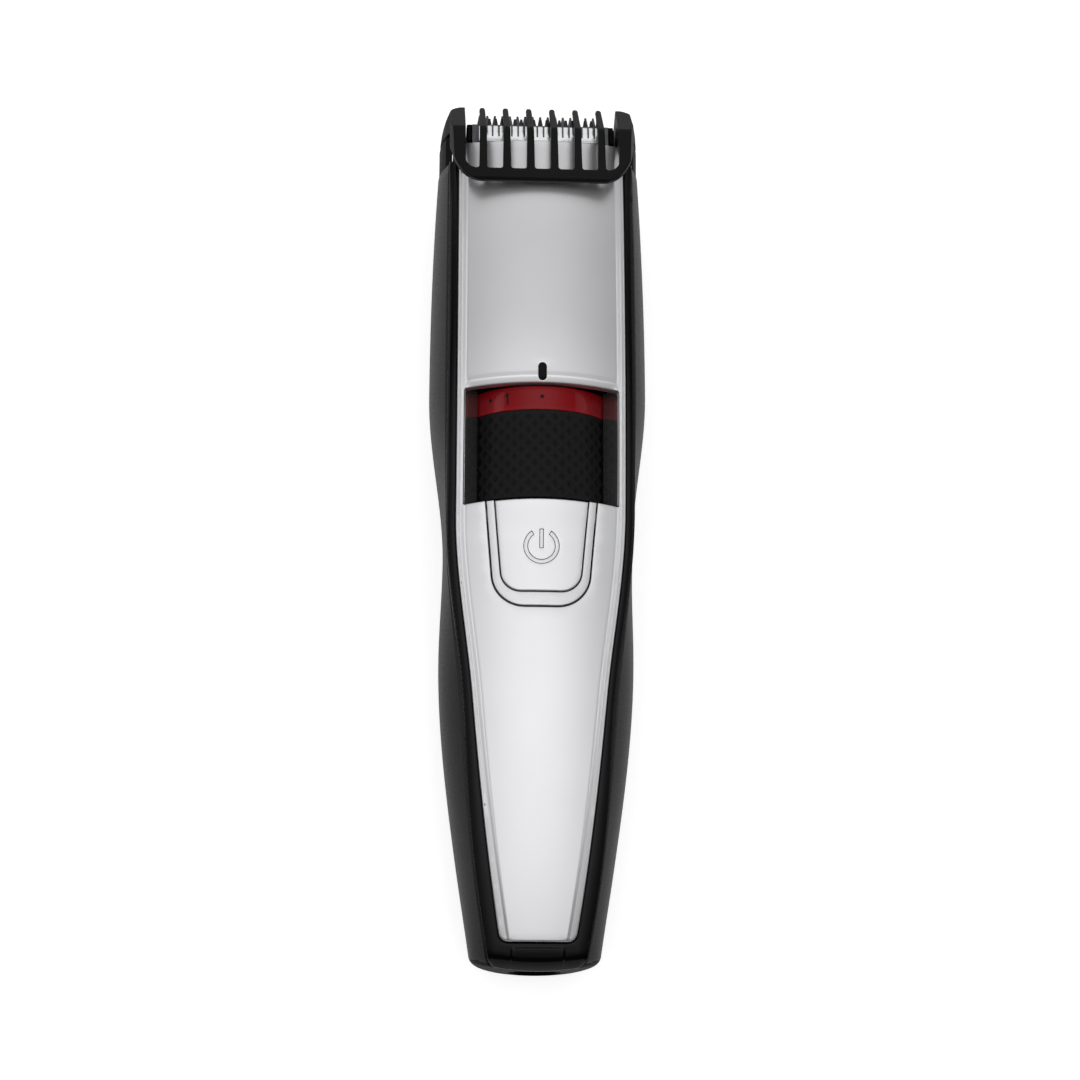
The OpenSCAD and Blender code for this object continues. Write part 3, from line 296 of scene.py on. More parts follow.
def triangulate(loops, points):
    """Triangles over the loops' points followed by the free points, inside the loops"""
    corners = np.vstack(list(loops) + [points]) if len(points) else np.vstack(loops)
    edges, start = [], 0
    for loop in loops:
        n = len(loop)
        edges += [(start + i, start + (i + 1) % n) for i in range(n)]
        start += n
    _, _, faces, origin, _, _ = delaunay_2d_cdt([Vector(p) for p in corners], edges, [], 0, 1e-7)
    faces = np.array([[origin[v][0] for v in f] for f in faces])
    middle = corners[faces].mean(1)
    return faces[inside(middle, loops)]


def fill_points(loops, spacing, extra=None):
    """Points of a staggered grid inside the loops, with the extra points among them"""
    lo, hi = loops[0].min(0), loops[0].max(0)
    grid = []
    for i, y in enumerate(np.arange(lo[1], hi[1], spacing * 0.866)):
        row = np.arange(lo[0] + (i % 2) * spacing / 2, hi[0], spacing)
        grid.append(np.stack([row, np.full(len(row), y)], 1))
    grid = np.vstack(grid)
    grid = grid[inside(grid, loops)]
    grid = grid[clearance(grid, loops) > spacing * GRID_OFF]
    if extra is None or not len(extra):
        return grid
    extra = np.asarray(extra)
    extra = extra[inside(extra, loops)]
    extra = extra[clearance(extra, loops) > EXTRA_OFF]
    near = np.array([np.min(np.abs(extra - p).sum(1)) for p in grid])
    return np.vstack([extra, grid[near > spacing * EXTRA_APART]])


def even(thickness):
    """Same thickness all over a plate"""
    return lambda x, s: np.full(np.shape(x), thickness)


def sheet(loops, top, thick, rims, spacing, extra=None, steps=5):
    """Points and faces of a closed plate seen from the front.

    Loops of (x, s) bound it with its material on their left. top gives the height of its face and thick its
    thickness; rims gives the run and drop of the rounded edge along each loop.
    """
    points, faces, inner, first_ring, last_ring = [], [], [], [], []
    count = 0

    def put(plan, z):
        nonlocal count
        points.append(np.column_stack([plan, z]))
        count += len(plan)
        return np.arange(count - len(plan), count)

    def strip(a, b):
        for i, j in enumerate(np.roll(np.arange(len(a)), -1)):
            faces.append((a[i], a[j], b[j], b[i]))

    for loop, (run, drop) in zip(loops, rims):
        normal = outward(loop)
        previous = None
        for k in range(steps + 1):
            a = math.pi / 2 * k / steps
            ring = loop - normal * (np.broadcast_to(run, len(loop)) * (1 - math.sin(a)))[:, None]
            ids = put(ring, top(ring[:, 0], ring[:, 1]) - np.asarray(drop) * (1 - math.cos(a)))
            if previous is None:
                inner.append(ring)
                first_ring.append(ids)
            else:
                strip(previous, ids)
            previous = ids
        last_ring.append(previous)
    free = fill_points(inner, spacing, extra)
    free_ids = put(free, top(free[:, 0], free[:, 1]))
    plan_ids = np.concatenate(first_ring + [free_ids])
    triangles = triangulate(inner, free)
    faces += [tuple(plan_ids[f]) for f in triangles]
    plan = np.vstack(inner + [free])
    under_ids = put(plan, top(plan[:, 0], plan[:, 1]) - thick(plan[:, 0], plan[:, 1]))
    faces += [tuple(under_ids[f][::-1]) for f in triangles]
    start = 0
    for loop, ids in zip(loops, last_ring):
        under = put(loop, top(loop[:, 0], loop[:, 1]) - thick(loop[:, 0], loop[:, 1]))
        strip(ids, under)
        strip(under, under_ids[start:start + len(loop)])
        start += len(loop)
    return np.vstack(points), faces


def ring_faces(rings, columns):
    """Quads of a grid of points that is closed both ways"""
    return [(i * columns + j, (i + 1) % rings * columns + j, (i + 1) % rings * columns + (j + 1) % columns,
             i * columns + (j + 1) % columns) for i in range(rings) for j in range(columns)]


def grid_faces(rows, columns, wrap=False, start=0):
    """Quads of a grid of points, closed round the columns if wrap is set"""
    last = columns if wrap else columns - 1
    return [(start + i * columns + j, start + i * columns + (j + 1) % columns,
             start + (i + 1) * columns + (j + 1) % columns, start + (i + 1) * columns + j)
            for i in range(rows - 1) for j in range(last)]


def add_piece(name, points, faces, slot, body, nodes=(), sharp=38):
    """Object of a mesh given in millimetres, riding on a body and standing for nodes"""
    mesh = bpy.data.meshes.new(name)
    places = (np.asarray(points, float) + [0, TAIL_Y, 0]) * MM
    mesh.from_pydata(places.tolist(), [], [tuple(int(v) for v in f) for f in faces])
    bm = bmesh.new()
    bm.from_mesh(mesh)
    bmesh.ops.remove_doubles(bm, verts=bm.verts, dist=1e-7)
    bmesh.ops.recalc_face_normals(bm, faces=bm.faces)
    bm.to_mesh(mesh)
    bm.free()
    mesh.shade_smooth()
    mesh.set_sharp_from_angle(angle=math.radians(sharp))
    obj = bpy.data.objects.new(name, mesh)
    scene.collection.objects.link(obj)
    mesh.materials.append(materials[slot])
    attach(obj, body)
    if nodes:
        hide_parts(*nodes)
    return obj


def replace_node(node, points, faces, **options):
    return add_piece(node + "_fine", points, faces, SLOT_OF[node], BODY_OF[node], [node], **options)


# Materials

materials = {}


def shader(name, color, roughness, metallic=0.0, specular=0.5, coat=0.0, coat_roughness=0.1):
    """New material with its tree, its shader and object coordinates"""
    mat = bpy.data.materials.new(name)
    mat.use_nodes = True
    tree = mat.node_tree
    bsdf = tree.nodes["Principled BSDF"]
    bsdf.inputs["Base Color"].default_value = (*color, 1)
    bsdf.inputs["Roughness"].default_value = roughness
    bsdf.inputs["Metallic"].default_value = metallic
    bsdf.inputs["Specular IOR Level"].default_value = specular
    bsdf.inputs["Coat Weight"].default_value = coat
    bsdf.inputs["Coat Roughness"].default_value = coat_roughness
    mat.diffuse_color = (*color, 1)
    materials[name] = mat
    coords = tree.nodes.new("ShaderNodeTexCoord").outputs["Object"]
    return tree, bsdf, coords


def noise(tree, coords, scale, detail=3.0, stretch=(1, 1, 1)):
    """Noise with about scale spots to the metre"""
    if stretch != (1, 1, 1):
        mapping = tree.nodes.new("ShaderNodeMapping")
        mapping.inputs["Scale"].default_value = stretch
        tree.links.new(coords, mapping.inputs["Vector"])
        coords = mapping.outputs["Vector"]
    node = tree.nodes.new("ShaderNodeTexNoise")
    node.inputs["Scale"].default_value = scale
    node.inputs["Detail"].default_value = detail
    tree.links.new(coords, node.inputs["Vector"])
    return node.outputs["Fac"]


def spread(tree, value, low, high, socket, start=0.3, end=0.7):
    """Send a noise to a socket, spread between two values"""
    ramp = tree.nodes.new("ShaderNodeMapRange")
    ramp.inputs["From Min"].default_value = start
    ramp.inputs["From Max"].default_value = end
    ramp.inputs["To Min"].default_value = low
    ramp.inputs["To Max"].default_value = high
    tree.links.new(value, ramp.inputs["Value"])
    tree.links.new(ramp.outputs["Result"], socket)


def tint(tree, value, dark, light, socket):
    """Send a colour between two shades to a socket, led by a noise"""
    ramp = tree.nodes.new("ShaderNodeValToRGB")
    ramp.color_ramp.elements[0].position = 0.3
    ramp.color_ramp.elements[1].position = 0.7
    ramp.color_ramp.elements[0].color = (*dark, 1)
    ramp.color_ramp.elements[1].color = (*light, 1)
    tree.links.new(value, ramp.inputs["Fac"])
    tree.links.new(ramp.outputs["Color"], socket)


def product(tree, value, factor):
    """Product of a socket and a number or another socket"""
    node = tree.nodes.new("ShaderNodeMath")
    node.operation = "MULTIPLY"
    tree.links.new(value, node.inputs[0])
    if isinstance(factor, (int, float)):
        node.inputs[1].default_value = factor
    else:
        tree.links.new(factor, node.inputs[1])
    return node.outputs["Value"]


def relief(tree, bsdf, value, depth):
    """Raise the surface by a noise, depth in metres"""
    bump = tree.nodes.new("ShaderNodeBump")
    bump.inputs["Strength"].default_value = 1.0
    bump.inputs["Distance"].default_value = depth
    tree.links.new(value, bump.inputs["Height"])
    tree.links.new(bump.outputs["Normal"], bsdf.inputs["Normal"])


def shades(color, down, up):
    """Darker and lighter shade of a colour"""
    return [c * (1 - down) for c in color], [min(1, c * (1 + up)) for c in color]


def moulded(name, color, roughness, grain, depth, swing=0.12, **options):
    """Moulded plastic: a fine grain, slow changes of shade and uneven gloss"""
    tree, bsdf, coords = shader(name, color, roughness, **options)
    slow = noise(tree, coords, 60, 2)
    tint(tree, slow, *shades(color, swing, swing), bsdf.inputs["Base Color"])
    fine = noise(tree, coords, grain, 2)
    spread(tree, fine, roughness * 0.88, roughness * 1.12, bsdf.inputs["Roughness"])
    relief(tree, bsdf, fine, depth)
    return tree, bsdf, coords


def metal(name, color, roughness, stretch, scratch=0.000002, swing=0.05, uneven=0.27):
    """Bare metal with fine lines along one direction"""
    tree, bsdf, coords = shader(name, color, roughness, metallic=1.0)
    lines = noise(tree, coords, 2500, 4, stretch)
    slow = noise(tree, coords, 150, 2)
    tint(tree, slow, *shades(color, swing, swing), bsdf.inputs["Base Color"])
    spread(tree, lines, roughness * (1 - uneven), roughness * (1 + uneven), bsdf.inputs["Roughness"])
    relief(tree, bsdf, lines, scratch)
    return tree, bsdf, coords


def cutter_steel():
    """Ground steel whose teeth are painted near black, as painted shade where they lie under the comb"""
    tree, bsdf, coords = metal("blade_steel", (0.85, 0.86, 0.87), 0.26, (1, 0.02, 0.05), scratch=0.0000002,
                               swing=0.02, uneven=0.06)
    ground = bsdf.inputs["Base Color"].links[0].from_socket
    along = tree.nodes.new("ShaderNodeSeparateXYZ")
    tree.links.new(coords, along.inputs[0])
    shaded_teeth = tree.nodes.new("ShaderNodeMapRange")
    shaded_teeth.interpolation_type = "SMOOTHSTEP"
    shaded_teeth.inputs["From Min"].default_value = (tooth_root_s - 0.15 + TAIL_Y) * MM
    shaded_teeth.inputs["From Max"].default_value = (tooth_root_s + 0.25 + TAIL_Y) * MM
    tree.links.new(along.outputs["Y"], shaded_teeth.inputs["Value"])
    mix = tree.nodes.new("ShaderNodeMix")
    mix.data_type = "RGBA"
    factor, shade_a, teeth_painted_shade = mix.inputs[0], mix.inputs[6], mix.inputs[7]
    # painted shade: near-black colour on the teeth beyond their root
    teeth_painted_shade.default_value = (0.03, 0.03, 0.034, 1)
    tree.links.new(shaded_teeth.outputs["Result"], factor)
    tree.links.new(ground, shade_a)
    tree.links.new(mix.outputs[2], bsdf.inputs["Base Color"])


def build_materials():
    moulded("satin_grey", (0.011, 0.0114, 0.011), 0.28, 2600, 0.000005, specular=0.26)
    moulded("gloss_black", (0.0015, 0.0015, 0.0017), 0.08, 900, 0.0000006, specular=0.18)
    # painted light: the cheeks' black is made lighter than the gloss black, to make up for the shade in the
    # dial's well
    lit_cheek = moulded("gloss_cheek_painted_light", (0.05, 0.05, 0.052), 0.12, 900, 0.0000006, specular=1.0)
    lit_cheek[1].inputs["IOR"].default_value = 2.4
    # Black painted darker than the comb's, for the blade holder's ears and the shell's tail end: painted
    # shade
    moulded("painted_shade_black", (0.0022, 0.0022, 0.0022), 0.4, 3000, 0.000004, specular=0.06)
    moulded("pale_grey", (0.64, 0.64, 0.64), 0.36, 3000, 0.000003, swing=0.03)
    moulded("trim_silver", (0.74, 0.74, 0.755), 0.38, 3000, 0.000002, swing=0.03, metallic=0.88)
    moulded("red", (0.27, 0.006, 0.01), 0.14, 1200, 0.0000002, swing=0.08, specular=0.18)
    moulded("comb_black", (0.008, 0.0083, 0.008), 0.36, 3000, 0.000004, specular=0.08)
    ribbed_rubber()
    moulded("inner_plastic", (0.65, 0.65, 0.62), 0.5, 2400, 0.000006, swing=0.03)
    moulded("cell_wrap", (0.05, 0.15, 0.3), 0.3, 700, 0.00001)
    moulded("board_green", (0.02, 0.15, 0.05), 0.35, 5000, 0.000006)
    moulded("component_black", (0.008, 0.008, 0.008), 0.5, 4000, 0.000006, specular=0.15)
    moulded("light_clear", (0.8, 0.85, 0.8), 0.12, 900, 0.000001, swing=0.02)
    cutter_steel()
    # Steel painted dark for the fixed blade: painted shade, so that its teeth and the moving blade's slots
    # read dark
    metal("shade_painted_steel", (0.09, 0.09, 0.095), 0.3, (1, 0.05, 1))
    metal("screw_steel", (0.5, 0.5, 0.51), 0.3, (1, 1, 1))
    metal("motor_steel", (0.55, 0.55, 0.53), 0.35, (0.05, 1, 1))
    metal("contact_brass", (0.75, 0.55, 0.25), 0.28, (1, 1, 1))
    silver_paint()


def ribbed_rubber():
    """Moulded rubber, painted darker in the hollows between the dial's ribs as painted shade, and lighter on
    the ribs
    """
    tree, bsdf, coords = shader("grip_rubber", (0.009, 0.0092, 0.0092), 0.5, specular=0.14)
    offset = tree.nodes.new("ShaderNodeVectorMath")
    offset.operation = "MULTIPLY_ADD"
    offset.inputs[1].default_value = (1, 0, 1)
    offset.inputs[2].default_value = (0, 0, -axis_z * MM)
    tree.links.new(coords, offset.inputs[0])
    radius = tree.nodes.new("ShaderNodeVectorMath")
    radius.operation = "LENGTH"
    tree.links.new(offset.outputs["Vector"], radius.inputs[0])
    height = tree.nodes.new("ShaderNodeMapRange")
    height.inputs["From Min"].default_value = (dial_r - knurl_depth) * MM
    height.inputs["From Max"].default_value = dial_r * MM
    tree.links.new(radius.outputs["Value"], height.inputs["Value"])
    # painted shade: the hollows get a darker colour than the ribs, standing in for the shade that falls in
    # them
    hollow, rib = (0.0036, 0.0037, 0.0037), (0.0095, 0.0098, 0.0097)
    tint(tree, height.outputs["Result"], hollow, rib, bsdf.inputs["Base Color"])
    fine = noise(tree, coords, 4200, 2)
    spread(tree, fine, 0.45, 0.56, bsdf.inputs["Roughness"])
    relief(tree, bsdf, fine, 0.000008)


def silver_paint():
    """Silver paint: fine flakes under a satin clear coat, with slow changes of tone"""
    color = (0.77, 0.77, 0.785)
    tree, bsdf, coords = shader("silver", color, 0.34, metallic=0.9, coat=0.1, coat_roughness=0.2)
    slow = noise(tree, coords, 45, 2)
    tint(tree, slow, *shades(color, 0.025, 0.02), bsdf.inputs["Base Color"])
    flakes = noise(tree, coords, 9000, 1)
    spread(tree, flakes, 0.3, 0.39, bsdf.inputs["Roughness"])
    relief(tree, bsdf, flakes, 0.0000022)


build_materials()


# Front panel

crease_fall = 0.4
border_fall = 0.62
groove_deep = 0.05
groove_w = 0.15
lip_run = 1.9
lip_drop = 1.75
lip_turn = 0.72
lip_arch = 0.9
bead_rise = 0.13
window_half = panel_w / 2 - border_w + 0.65
arch_rise = 0.3
arch_fall = 1.2
trim_deep = 1.25
notch_gap = 0.28


def lip_edge(x):
    """Place of the upper edge of the dial window, which is arched"""
    return window_y1 - lip_arch * np.clip(np.abs(x) / window_half, 0, 1) ** 2


def lip_roll(x, s):
    """How far the panel rolls down to the edge of the dial window, below a slight bead"""
    to_edge = s - lip_edge(x)
    t = np.clip(1 - to_edge / lip_run, 0, 1) * lip_turn
    bead = bead_rise * np.exp(-((to_edge - lip_run * 0.75) / 0.55) ** 2)
    side = 1 - ease((np.abs(x) - window_half + 1.1) / 1.0)
    return np.where(to_edge < -1, 0, (lip_drop * (1 - np.sqrt(1 - t ** 2)) - bead) * side)


def panel_top(x, s):
    c, p = crease_half(s), panel_half(s)
    a = np.abs(x)
    border = border_z(s) - border_fall * np.clip((a - c) / (p - c), 0, 1)
    run = crease_step(s) / crease_fall
    u = (a - c) / run
    z = crown_z(np.minimum(a, c + run), s) * (1 - ease(u)) + border * ease(u)
    z = z - groove_deep * np.exp(-((u - 1.0) / groove_w) ** 2)
    return z - lip_roll(x, s)


def panel_thick(x, s):
    under_lip = ease((window_y1 + 3.2 - s) / 1.4) * (s > window_y1 - 1) * (np.abs(x) < window_half + 0.3)
    return panel_t + 0.6 * under_lip


def arched(loop):
    """Loop whose points near the lower and upper edges of the dial window follow their arches"""
    x, s = loop[:, 0], loop[:, 1]
    low = (s > window_y0 - 0.6) & (s < window_y0 + 0.55)
    high = ease((s - window_y1 + 4) / 3.4)
    rise = arch_rise - arch_fall * (x / window_half) ** 2
    return np.column_stack([x, s + np.where(low, rise, 0) + high * (lip_edge(x) - window_y1)])


def trim_side(g, top, deep=0.0):
    """Outline of the button grown by g, from its upper right end round its foot to its upper left end"""
    r = button_corner + g + 0.6 * deep
    foot = button_foot_w / 2 - button_corner - 0.6 * deep
    slope = (button_w - button_foot_w) / 2 / button_l
    lean = math.degrees(math.atan(slope))
    x1 = button_w / 2 + g + slope * (top - window_y0)
    cy = button_y0 - g - deep + r
    round_foot = arc(foot, cy, r, -lean, -90, 14) + arc(-foot, cy, r, 270, 180 + lean, 14)
    return [(x1, top)] + round_foot + [(-x1, top)]


def stadium(width, s0, s1, grow=0.0):
    """Rounded upright slot, drawn clockwise"""
    r = width / 2 + grow
    return arc(0, s1 - width / 2, r, 180, 0, 12) + arc(0, s0 + width / 2, r, 0, -180, 12)


def panel_loops():
    """Outline of the panel, its window with the notch for the button's trim, and the pointer's hole"""
    x = panel_foot_w / 2 - foot_r + foot_swell
    end_r = 0.6
    side_s = frange(panel_foot_y + foot_r + foot_swell, panel_end_y - end_r, 1.3)
    side = [(float(panel_half(s)), s) for s in side_s]
    end = arc(panel_w / 2 - end_r, panel_end_y - end_r, end_r, 0, 90, 4)
    right = arc(x, panel_foot_y + foot_r, foot_r, -90, 0, 10) + side + end
    outer = right + [(-a, b) for a, b in reversed(right)]
    r = 0.5
    window = arc(-window_half + r, window_y1 - r, r, 180, 90, 4)
    window += arc(window_half - r, window_y1 - r, r, 90, 0, 4)
    window += arc(window_half - r, window_y0 + r, r, 0, -90, 4)
    window += trim_side(bezel_w + notch_gap, window_y0, trim_deep)
    window += arc(-window_half + r, window_y0 + r, r, 270, 180, 4)
    hole = stadium(pointer_w, pointer_s0, pointer_s1, 0.1)
    return densify(outer, 1.3), arched(densify(window, 0.7)), densify(hole, 0.25)


pointer_lo, pointer_hi = node_box("pointer_mark")
pointer_trim = 0.2
pointer_shift = 0.3
pointer_sink = 0.04
ridge_rise = 0.05
ridge_pitch = 0.5
ridge_half = 0.55
pointer_w = pointer_hi[0] - pointer_lo[0] - pointer_trim
pointer_s0 = pointer_lo[1] - pointer_shift
pointer_s1 = pointer_hi[1] - pointer_shift


def front_panel():
    outer, window, hole = panel_loops()
    extra = []
    for s in frange(panel_foot_y, panel_end_y, 0.8):
        for u in (-0.2, 0.0, 0.15, 0.3, 0.5, 0.7, 0.85, 0.95, 1.08):
            x = float(crease_half(s) + u * crease_step(s) / crease_fall)
            extra += [(x, s), (-x, s)]
    for t in np.arange(0.1, 1.7, 0.12):
        extra += [(x, float(lip_edge(x)) + lip_run * t) for x in frange(-window_half, window_half, 0.6)]
    rims = [(0.4, 0.4), (0.22, 0.25), (0.2, 0.14)]
    points, faces = sheet([outer, window, hole], panel_top, panel_thick, rims, 1.5, extra)
    return replace_node("front_panel", points, faces)


def pointer_mark():
    """Black mark let into the lip, with fine ridges across it"""
    loop = densify(stadium(pointer_w, pointer_s0, pointer_s1)[::-1], 0.2)

    def top(x, s):
        ridges = ridge_rise * np.cos((s - pointer_s0) * 2 * math.pi / ridge_pitch) * (np.abs(x) < ridge_half)
        return panel_top(x, s) - pointer_sink + ridges

    extra = [(x, s) for s in frange(pointer_s0, pointer_s1, 0.08) for x in (-0.5, -0.25, 0, 0.25, 0.5)]
    points, faces = sheet([loop], top, even(1.1), [(0.15, 0.12)], 0.3, extra, 3)
    return replace_node("pointer_mark", points, faces)


# Front frame

def tail_rim():
    """Half outline of the body at the seam, from the middle of the tail end to the top"""
    x0 = float(seam_half(0)) - tail_fillet
    end = [(x, float(plan_s(x, 0.0))) for x in frange(0, x0, 0.7)]
    turn = [tail_fillet * (1 - math.cos(a)) for a in np.radians(np.arange(10, 91, 10))]
    stations = turn + list(frange(tail_fillet + 0.8, body_l, 1.2))
    xs = [float(seam_half(d) - tail_inset(d)) for d in stations]
    return end + [(x, float(plan_s(x, d))) for x, d in zip(xs, stations)]


frame_sink = 0.35
frame_t = 2.5
frame_tail_t = 0.3
frame_edge = 2.25
side_fall = 0.7
tail_fall = 2.1
tail_run = 2.6
tail_turn = 6


def frame_drop(x, s):
    """How far the frame falls away to the side walls and the tail end"""
    a = np.abs(x)
    inner = panel_half(np.maximum(s, panel_foot_y))
    side = np.clip((a - inner) / (seam_half(s) - inner), 0, 1)
    tail = np.clip(1 - (s - plan_s(x, 0.0)) / tail_run, 0, 1)
    return np.minimum(np.hypot(side_fall * side ** 2.2, tail_fall * tail ** 2.2), tail_fall)


def frame_top(x, s):
    """Face of the frame, with a raised facet between the panel's foot and the tail end"""
    facet = 1 - ease((np.abs(x) - facet_half) / facet_run)
    facet = facet * ease((panel_foot_y - facet_gap - s) / facet_run)
    return edge_z(s) - frame_sink + facet_rise * facet - frame_drop(x, s)


def frame_thick(x, s):
    return frame_t + frame_tail_t * (s < panel_foot_y) - frame_drop(x, s)


def front_frame():
    right = tail_rim()
    r = foot_r + seam
    x = panel_foot_w / 2 - r + foot_swell + seam
    inner = arc(x, panel_foot_y + r - seam, r, -90, 0, 10)
    inner += [(float(panel_half(s)) + seam, s) for s in frange(panel_foot_y + r + foot_swell, body_l, 1.2)]
    loop = right + inner[::-1] + [(-a, b) for a, b in inner] + [(-a, b) for a, b in reversed(right)]
    loop = densify(loop, 1.2)
    side = np.abs(loop[:, 0]) - panel_half(loop[:, 1])
    edge = (side > 1.0) | (loop[:, 1] < panel_foot_y - seam - 0.05)
    edge &= loop[:, 1] < body_l - 0.01
    foot = 1 - ease((loop[:, 1] - panel_foot_y) / r)
    run = np.where(edge, 0.06, 0.28 + 0.3 * foot)
    drop = np.where(edge, frame_edge - frame_drop(loop[:, 0], loop[:, 1]), 0.26 + 0.2 * foot)
    extra = []
    for s in frange(0.5, panel_foot_y - 0.4, 0.5):
        for u in (-0.5, -0.1, 0.2, 0.5, 0.8, 1.1, 1.5):
            x = facet_half + u * facet_run
            extra += [(x, s), (-x, s)]
    for edge_x, s in right[1:-1]:
        if s <= tail_turn:
            continue
        inner_x = float(panel_half(max(s, panel_foot_y)))
        for u in (0.25, 0.42, 0.58, 0.72, 0.84, 0.92):
            x = inner_x + u * (edge_x - inner_x)
            extra += [(x, s), (-x, s)]
    for x in frange(-facet_half + 0.6, facet_half - 0.6, 0.8):
        extra += [(x, float(plan_s(x, 0.0)) + d) for d in (0.3, 0.7, 1.2, 1.8, 2.5)]
        extra += [(x, panel_foot_y - facet_gap - u * facet_run) for u in (-0.2, 0.1, 0.35, 0.65, 0.9, 1.2)]
    points, faces = sheet([loop], frame_top, frame_thick, [(run, drop)], 1.0, extra, 4)
    return replace_node("front_frame", points, faces)


# Back shell

flat_share = 0.42
belly_share = 0.52
belly_power = 2.4


def shell_half(station, inset, low=26, high=14):
    """Half section from the middle of the back to the seam, as [x, z]"""
    w = float(half_w(station))
    z0 = float(back_z(station))
    z2 = float(seam_z(station))
    b = w * flat_share
    z1 = z0 + (z2 - z0) * belly_share
    top = float(seam_half(station)) - inset
    power = 2 / belly_power
    t = np.radians(np.linspace(0, 90, low + 1))
    c = np.where(np.cos(t) < 1e-9, 0, np.cos(t))
    lower = np.stack([b + (w - inset - b) * np.sin(t) ** power, z1 - (z1 - z0 - inset) * c ** power], 1)
    t = np.linspace(0, 1, high + 1)[1:]
    upper = np.stack([w - inset - (w - inset - top) * t ** 2, z1 + (z2 - z1) * t], 1)
    flat = np.stack([np.linspace(0, b, 6)[:-1], np.full(5, z0 + inset)], 1)
    return np.vstack([flat, lower, upper])


socket_z = 14
# How far the painted shade reaches over the tail end of the shell, in millimetres
tail_shade_reach = 0.7
socket_lo, socket_hi = node_box("charge_socket")
socket_r = (socket_hi[0] - socket_lo[0]) / 2 + seam


def back_shell():
    turn = [tail_fillet * (1 - math.cos(a)) for a in np.radians(np.arange(0, 91, 11.25))]
    stations = turn + list(frange(tail_fillet + 0.8, body_l, 2.0))
    points = []
    for d in stations:
        half = shell_half(d, float(tail_inset(d)))
        ring = np.vstack([half[::-1], half[1:] * [-1, 1]])
        points.append(np.column_stack([ring[:, 0], plan_s(ring[:, 0], d), ring[:, 1]]))
    columns = len(points[0])
    faces = grid_faces(len(points), columns)
    cap = points[0][:, [0, 2]]
    top = np.stack([np.linspace(cap[-1][0], cap[0][0], 16)[1:-1], np.full(14, cap[0][1])], 1)
    cap_loop = np.vstack([cap, top])
    hole = densify(arc(0, socket_z, socket_r, 360, 0, 48)[:-1], 9)
    free = fill_points([cap_loop, hole], 1.6)
    triangles = triangulate([cap_loop, hole], free)
    cap_points = np.vstack([cap_loop, hole, free])
    start = sum(len(p) for p in points)
    ids = np.concatenate([np.arange(columns), start + np.arange(len(cap_points) - columns)])
    rest = cap_points[columns:]
    points.append(np.column_stack([rest[:, 0], plan_s(rest[:, 0], 0.0), rest[:, 1]]))
    faces += [tuple(ids[f]) for f in triangles]
    shell = replace_node("back_shell", np.vstack(points), faces, sharp=50)
    # painted shade: the faces of the tail end take the darker black
    shell.data.materials.append(materials["painted_shade_black"])
    for face in shell.data.polygons:
        x, s = face.center.x / MM, face.center.y / MM - TAIL_Y
        face.material_index = int(s - bulge(x) < tail_shade_reach)
    thick = shell.modifiers.new("wall", "SOLIDIFY")
    thick.thickness = wall * MM
    thick.offset = -1
    return shell


# Dial

cheek_low = (13.2, 28.73)
cheek_sink = 0.22
cheek_gap = 0.08


def dial_well():
    """Sloping cheeks at both sides of the dial, whose upper edge follows the panel's border"""
    points, faces = [], []
    low_x, low_z = cheek_low
    top = window_half - cheek_gap
    stations = frange(window_y0 - 0.4, window_y1 - seam, 1.2)
    for side in (-1, 1):
        start = len(points)
        for s in stations:
            high = float(border_z(s)) - cheek_sink
            section = [(low_x, low_z), (low_x + 0.25, low_z - 0.6), (window_half + 0.7, low_z - 0.6),
                       (window_half + 0.7, high - 1.5), (top + 0.02, high - 1.1), (top, high - 0.12),
                       (top - 0.12, high)]
            section += [(low_x + (top - 0.24 - low_x) * t, low_z + (high - 0.08 - low_z) * t)
                        for t in (1, 0.75, 0.5, 0.25)]
            points += [(side * x, s, z) for x, z in section]
        n = len(section)
        faces += grid_faces(len(stations), n, True, start)
        faces.append(tuple(range(start, start + n)))
        faces.append(tuple(range(start + (len(stations) - 1) * n, start + len(stations) * n)))
    well = replace_node("dial_well", points, faces)
    # the cheeks take the gloss black painted lighter, as painted light against the well's shade
    well.data.materials[0] = materials["gloss_cheek_painted_light"]
    return well


def lathe(profile, segments):
    """Ring round the dial's axis from a closed profile of (s, r)"""
    points = []
    for i in range(segments):
        a = 2 * math.pi * i / segments
        for s, r in profile:
            points.append((r * math.sin(a), s, axis_z + r * math.cos(a)))
    return np.array(points), ring_faces(segments, len(profile))


drum_r = dial_r - 1.5
cells_round = 33
cell_along = 2.82
rib_half = 0.36
pip_r = 0.3
pip_edge = 0.22


def knurl(angle, s):
    """Height of the grip under its outer radius: crossing ridges with a round hollow in each diamond"""
    u = angle / (2 * math.pi) * cells_round
    v = (s - dial_y - 0.4) / cell_along
    across = 2 * math.pi * dial_r / cells_round
    slant = across * cell_along / math.hypot(across, cell_along)
    d1 = np.abs((u + v) % 1 - 0.5) * slant
    d2 = np.abs((u - v) % 1 - 0.5) * slant
    ridge = np.maximum(1 - ease(d1 / rib_half), 1 - ease(d2 / rib_half))
    cu, cv = u - np.round(u), v - np.round(v)
    du, dv = u + 0.5 - np.round(u + 0.5), v + 0.5 - np.round(v + 0.5)
    near = np.minimum(np.hypot(cu * across, cv * cell_along), np.hypot(du * across, dv * cell_along))
    pip = 1 - ease((near - pip_r) / pip_edge)
    body = np.maximum(ridge, 0.5 - 0.5 * pip)
    plain = np.maximum(ease((dial_y + 1.0 - s) / 0.5), ease((s - scale_lo[1] + 0.9) / 0.4))
    return -knurl_depth * (1 - np.maximum(body, plain * 0.6))


